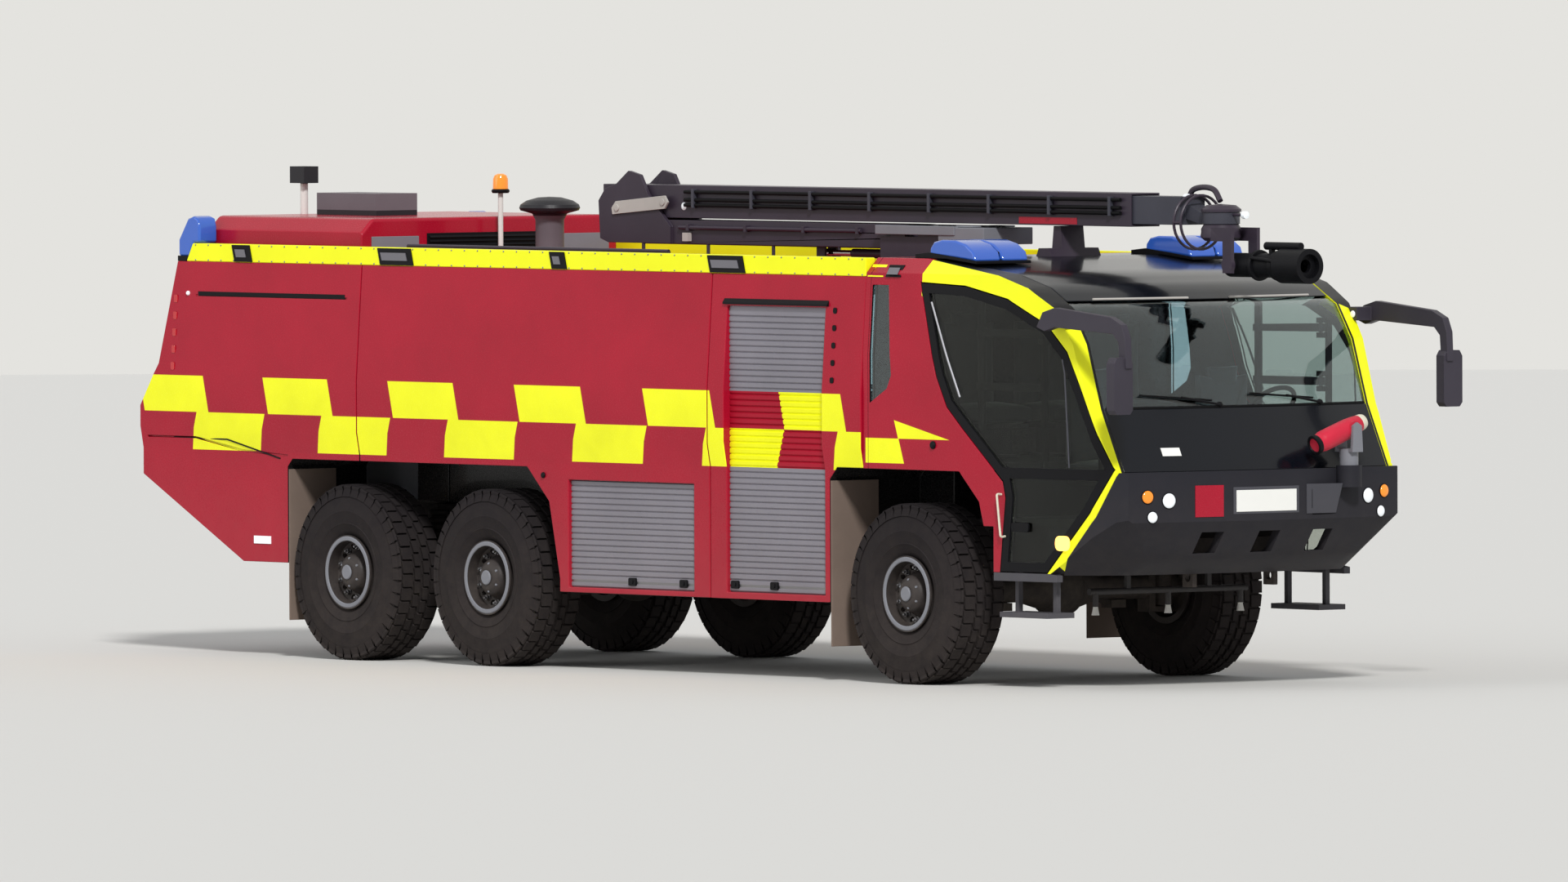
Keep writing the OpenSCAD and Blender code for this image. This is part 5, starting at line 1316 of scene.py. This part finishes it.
class TRUCK_OT_boom(bpy.types.Operator):
    """Pipes and hoses, stripe, boxes and lamps on the boom, turret and front monitor."""

    bl_idname = "truck.boom"
    bl_label = "Boom fittings"

    def execute(self, context):
        r = sizes().hose_radius
        # Water and air lines clipped along both sides of the upper boom
        lines, clips, stripe = Solids(), Solids(), Solids()
        for z in (3.5, 3.54, 3.6):
            lines.tube([(-4.25, 0.158, z), (0.95, 0.158, z)], r, 10)
        for i in range(8):
            x = -4.15 + 0.71 * i
            clips.box((x, UPPER_Y, 3.478), (x + 0.03, 0.178, 3.622))
        stripe.box((-0.26, UPPER_Y, 3.41), (0.42, 0.1425, 3.46))
        for solids in (lines, clips, stripe):
            solids.both_sides()
        lines.piece("upper_boom_lines", "Sealing rubber", "upper_boom", "black_plastic")
        clips.piece("upper_boom_clips", "Epoxy paint, telescope", "upper_boom", "boom_paint", 0.003)
        stripe.piece("boom_stripe", "Two-pack paint, red", "upper_boom", "body_paint")
        # Lower boom: a pipe each side, and pale link bars over the elbow
        lines, links = Solids(), Solids()
        lines.tube([(-4.3, 0.172, 3.33), (-2.1, 0.172, 3.33)], 0.016, 10)
        for x in (-4.2, -3.5, -2.8, -2.15):
            lines.box((x, LOWER_Y, 3.305), (x + 0.03, 0.19, 3.355))
        links.prism([(-5.09, 3.42), (-4.45, 3.47), (-4.41, 3.52), (-4.45, 3.57), (-5.05, 3.52), (-5.1, 3.47)],
                    "y", 0.1795, 0.197)
        links.prism(rectangle(-4.23, 3.225, -4.17, 3.29), "y", LOWER_Y, 0.2)
        for x, z in ((-5.03, 3.47), (-4.47, 3.52)):
            links.turned([(0.0, 0.0), (0.026, 0.0), (0.026, 0.01), (0.0, 0.012)],
                         (x, 0.197, z), (0, 1, 0), 20)
        lines.both_sides()
        links.both_sides()
        lines.piece("lower_boom_lines", "Epoxy paint, boom", "lower_boom", "boom_paint", 0.002)
        links.piece("elbow_links", "Epoxy paint, pale", "lower_boom", "boom_paint", 0.002)
        # Work lamps: a flat one on both sides of the upper boom, round ones on the middle line
        for name, body, place, radius in (
            ("boom_lamps", "upper_boom", (-4.28, UPPER_Y, 3.49), 0.03),
            ("telescope_lamps", "telescope", (1.53, 0.0, 3.62), 0.03),
            ("turret_lamps", "turret_head", (2.2, 0.0, 3.5), 0.028),
        ):
            lamp = Solids()
            if place[1]:
                lamp.dome(radius, 0.012, place, (0, 1, 0), 20)
                lamp.both_sides()
            else:
                lamp.turned([(0.0, -0.02), (radius, -0.012), (radius * 1.05, 0.0), (radius, 0.02),
                             (0.0, 0.028)], place, (1, 0, 0), 20)
            lamp.piece(name, "Lens, clear", body, "lamp_glass")
        stalk = Solids()
        foot = reach("turret_head", (2.8, 0.0, 3.5), (-1, 0, 0)).x
        stalk.tube([(foot - 0.01, 0.0, 3.5), (2.185, 0.0, 3.5)], 0.011, 10)
        stalk.piece("turret_lamp_stalk", "Epoxy paint, boom", "turret_head", "boom_paint")
        # Boxes beside the turntable
        boxes = Solids()
        boxes.box((-1.84, 0.17, 3.3105), (-0.9, 0.25, 3.38))
        boxes.both_sides()
        boxes.piece("turntable_boxes", "Epoxy paint, light grey", "turntable", "turntable_paint", 0.006)
        # Valve box in front of the turntable, under the boom
        box = Solids()
        box.box((-1.1, -0.24, 3.245), (-0.56, 0.24, 3.372))
        for y in (-0.16, 0.0, 0.16):
            box.box((-0.93, y - 0.05, 3.372), (-0.73, y + 0.05, 3.385))
        box.piece("valve_box", "Epoxy paint, light grey", "turntable", "turntable_paint", 0.008)
        # Hoops that guard the telescope's end, with the pipe that arches over to the turret
        guard = Solids()
        for x in (1.62, 1.7):
            hoop = [polar(0.2, a) for a in range(-180, 181, 12)]
            guard.tube([(x, u, 3.44 + v) for u, v in hoop], 0.011, 8)
        for y in (-0.2, 0.2):
            guard.tube([(1.6, y * 0.66, 3.44), (1.62, y, 3.44), (1.7, y, 3.44)], 0.011, 8)
        guard.tube(smooth_path([
            (1.5, 0.05, 3.62), (1.56, 0.04, 3.68), (1.7, 0.03, 3.7),
            (1.84, 0.01, 3.68), (1.92, 0.0, 3.6)], 5), 0.022, 12)
        guard.piece("turret_guard", "Epoxy paint, boom", "telescope", "boom_paint")
        # Rings, side pipes and a second tube on the turret's nozzle
        rings = Solids()
        for place, radius, width in (
            (0.2, 0.112, 0.03), (0.42, 0.108, 0.04), (0.56, 0.104, 0.03), (0.7, 0.12, 0.04),
        ):
            rings.turned([(0.05, place), (radius, place), (radius + 0.005, place + width * 0.3),
                          (radius, place + width), (0.05, place + width)], TURRET_PIVOT, (1, 0, 0), 32)
        for y in (-0.1, 0.1):
            rings.tube(smooth_path([
                (2.37, y * 0.8, 3.19), (2.42, y, 3.185), (2.6, y * 1.05, 3.17), (2.78, y, 3.15),
                (2.82, y * 0.6, 3.15)], 4), 0.014, 10)
        rings.tube([(2.45, 0.0, 3.275), (2.85, 0.0, 3.275)], 0.03, 14)
        for x in (2.5, 2.78):
            rings.box((x, -0.02, 3.2), (x + 0.03, 0.02, 3.27))
        rings.piece("nozzle_fittings", "Moulded plastic, black", "turret_nozzle", "black_plastic", 0.002)
        # Muzzle and rear cap of the stowed bumper nozzle, which points down to the right
        across, down = polar(1, STOWED_DIP)
        way = (0, -across, -down)
        mouth, cap = Solids(), Solids()
        mouth.turned([(0.045, 0.30), (0.072, 0.325), (0.0745, 0.335), (0.0745, 0.356), (0.066, 0.362),
                      (0.056, 0.362), (0.05, 0.34), (0.0, 0.34), (0.0, 0.3)], STOWED_PIVOT, way, 32)
        cap.turned([(0.0, -0.155), (0.03, -0.155), (0.052, -0.148), (0.06, -0.13), (0.063, -0.1),
                    (0.06, -0.09), (0.0, -0.09)], STOWED_PIVOT, way, 32)
        mouth.piece("bumper_nozzle_mouth", "Moulded plastic, black", "front_nozzle", "black_plastic")
        cap.piece("bumper_nozzle_cap", "Moulded plastic, cream", "front_nozzle", "monitor_paint")
        return {"FINISHED"}


class TRUCK_OT_chassis(bpy.types.Operator):
    """Air tanks and brake chambers under the body."""

    bl_idname = "truck.chassis"
    bl_label = "Chassis fittings"

    def execute(self, context):
        tanks, chambers = Solids(), Solids()
        for x in (-4.2, -3.6):
            tanks.turned([(0.0, -0.25), (0.07, -0.24), (0.105, -0.21), (0.115, -0.17), (0.115, 0.17),
                          (0.105, 0.21), (0.07, 0.24), (0.0, 0.25)], (x, 0.55, 0.72), (1, 0, 0), 28)
        tanks.piece("air_tanks", "Epoxy paint, chassis", slot="chassis_paint")
        # A chamber beside each rear axle's end, with its push rod and hose
        for x in (-5.06, -6.79):
            for side in (-1, 1):
                y = side * 0.62
                chambers.turned([(0.0, -0.09), (0.06, -0.09), (0.08, -0.07), (0.08, -0.01), (0.086, -0.01),
                                 (0.086, 0.01), (0.08, 0.01), (0.08, 0.06), (0.05, 0.08), (0.0, 0.08)],
                                (x + 0.22, y, 0.8), (1, 0, 0), 20)
                chambers.tube([(x + 0.03, y, 0.72), (x + 0.09, y, 0.79), (x + 0.14, y, 0.8)], 0.02, 10)
                chambers.tube(smooth_path([
                    (x + 0.3, y, 0.84), (x + 0.36, side * 0.58, 0.93), (x + 0.34, side * 0.5, 1.02)], 5),
                    0.009, 8)
        chambers.piece("brake_chambers", "Epoxy paint, chassis", slot="chassis_paint")
        return {"FINISHED"}


STEPS = (TRUCK_OT_dress, TRUCK_OT_stage, TRUCK_OT_wheels, TRUCK_OT_lamps, TRUCK_OT_body,
         TRUCK_OT_cab, TRUCK_OT_seats, TRUCK_OT_boom, TRUCK_OT_chassis)


class TRUCK_PT_panel(bpy.types.Panel):
    """Settings and steps of the fire truck's finish."""

    bl_idname = "TRUCK_PT_panel"
    bl_label = "Fire truck finish"
    bl_space_type = "VIEW_3D"
    bl_region_type = "UI"
    bl_category = "Fire Truck"

    def draw(self, context):
        for group in (context.scene.truck_colours, context.scene.truck_sizes):
            box = self.layout.box()
            for name in group.__annotations__:
                box.prop(group, name)
        for step in STEPS:
            self.layout.operator(step.bl_idname)


CLASSES = (TruckColours, TruckSizes, *STEPS, TRUCK_PT_panel)


def register():
    for item in CLASSES:
        bpy.utils.register_class(item)
    bpy.types.Scene.truck_colours = bpy.props.PointerProperty(type=TruckColours)
    bpy.types.Scene.truck_sizes = bpy.props.PointerProperty(type=TruckSizes)


def unregister():
    del bpy.types.Scene.truck_sizes
    del bpy.types.Scene.truck_colours
    for item in reversed(CLASSES):
        bpy.utils.unregister_class(item)


def main():
    register()
    for step in STEPS:
        group, name = step.bl_idname.split(".")
        getattr(getattr(bpy.ops, group), name)()


if __name__ == "__main__":
    main()
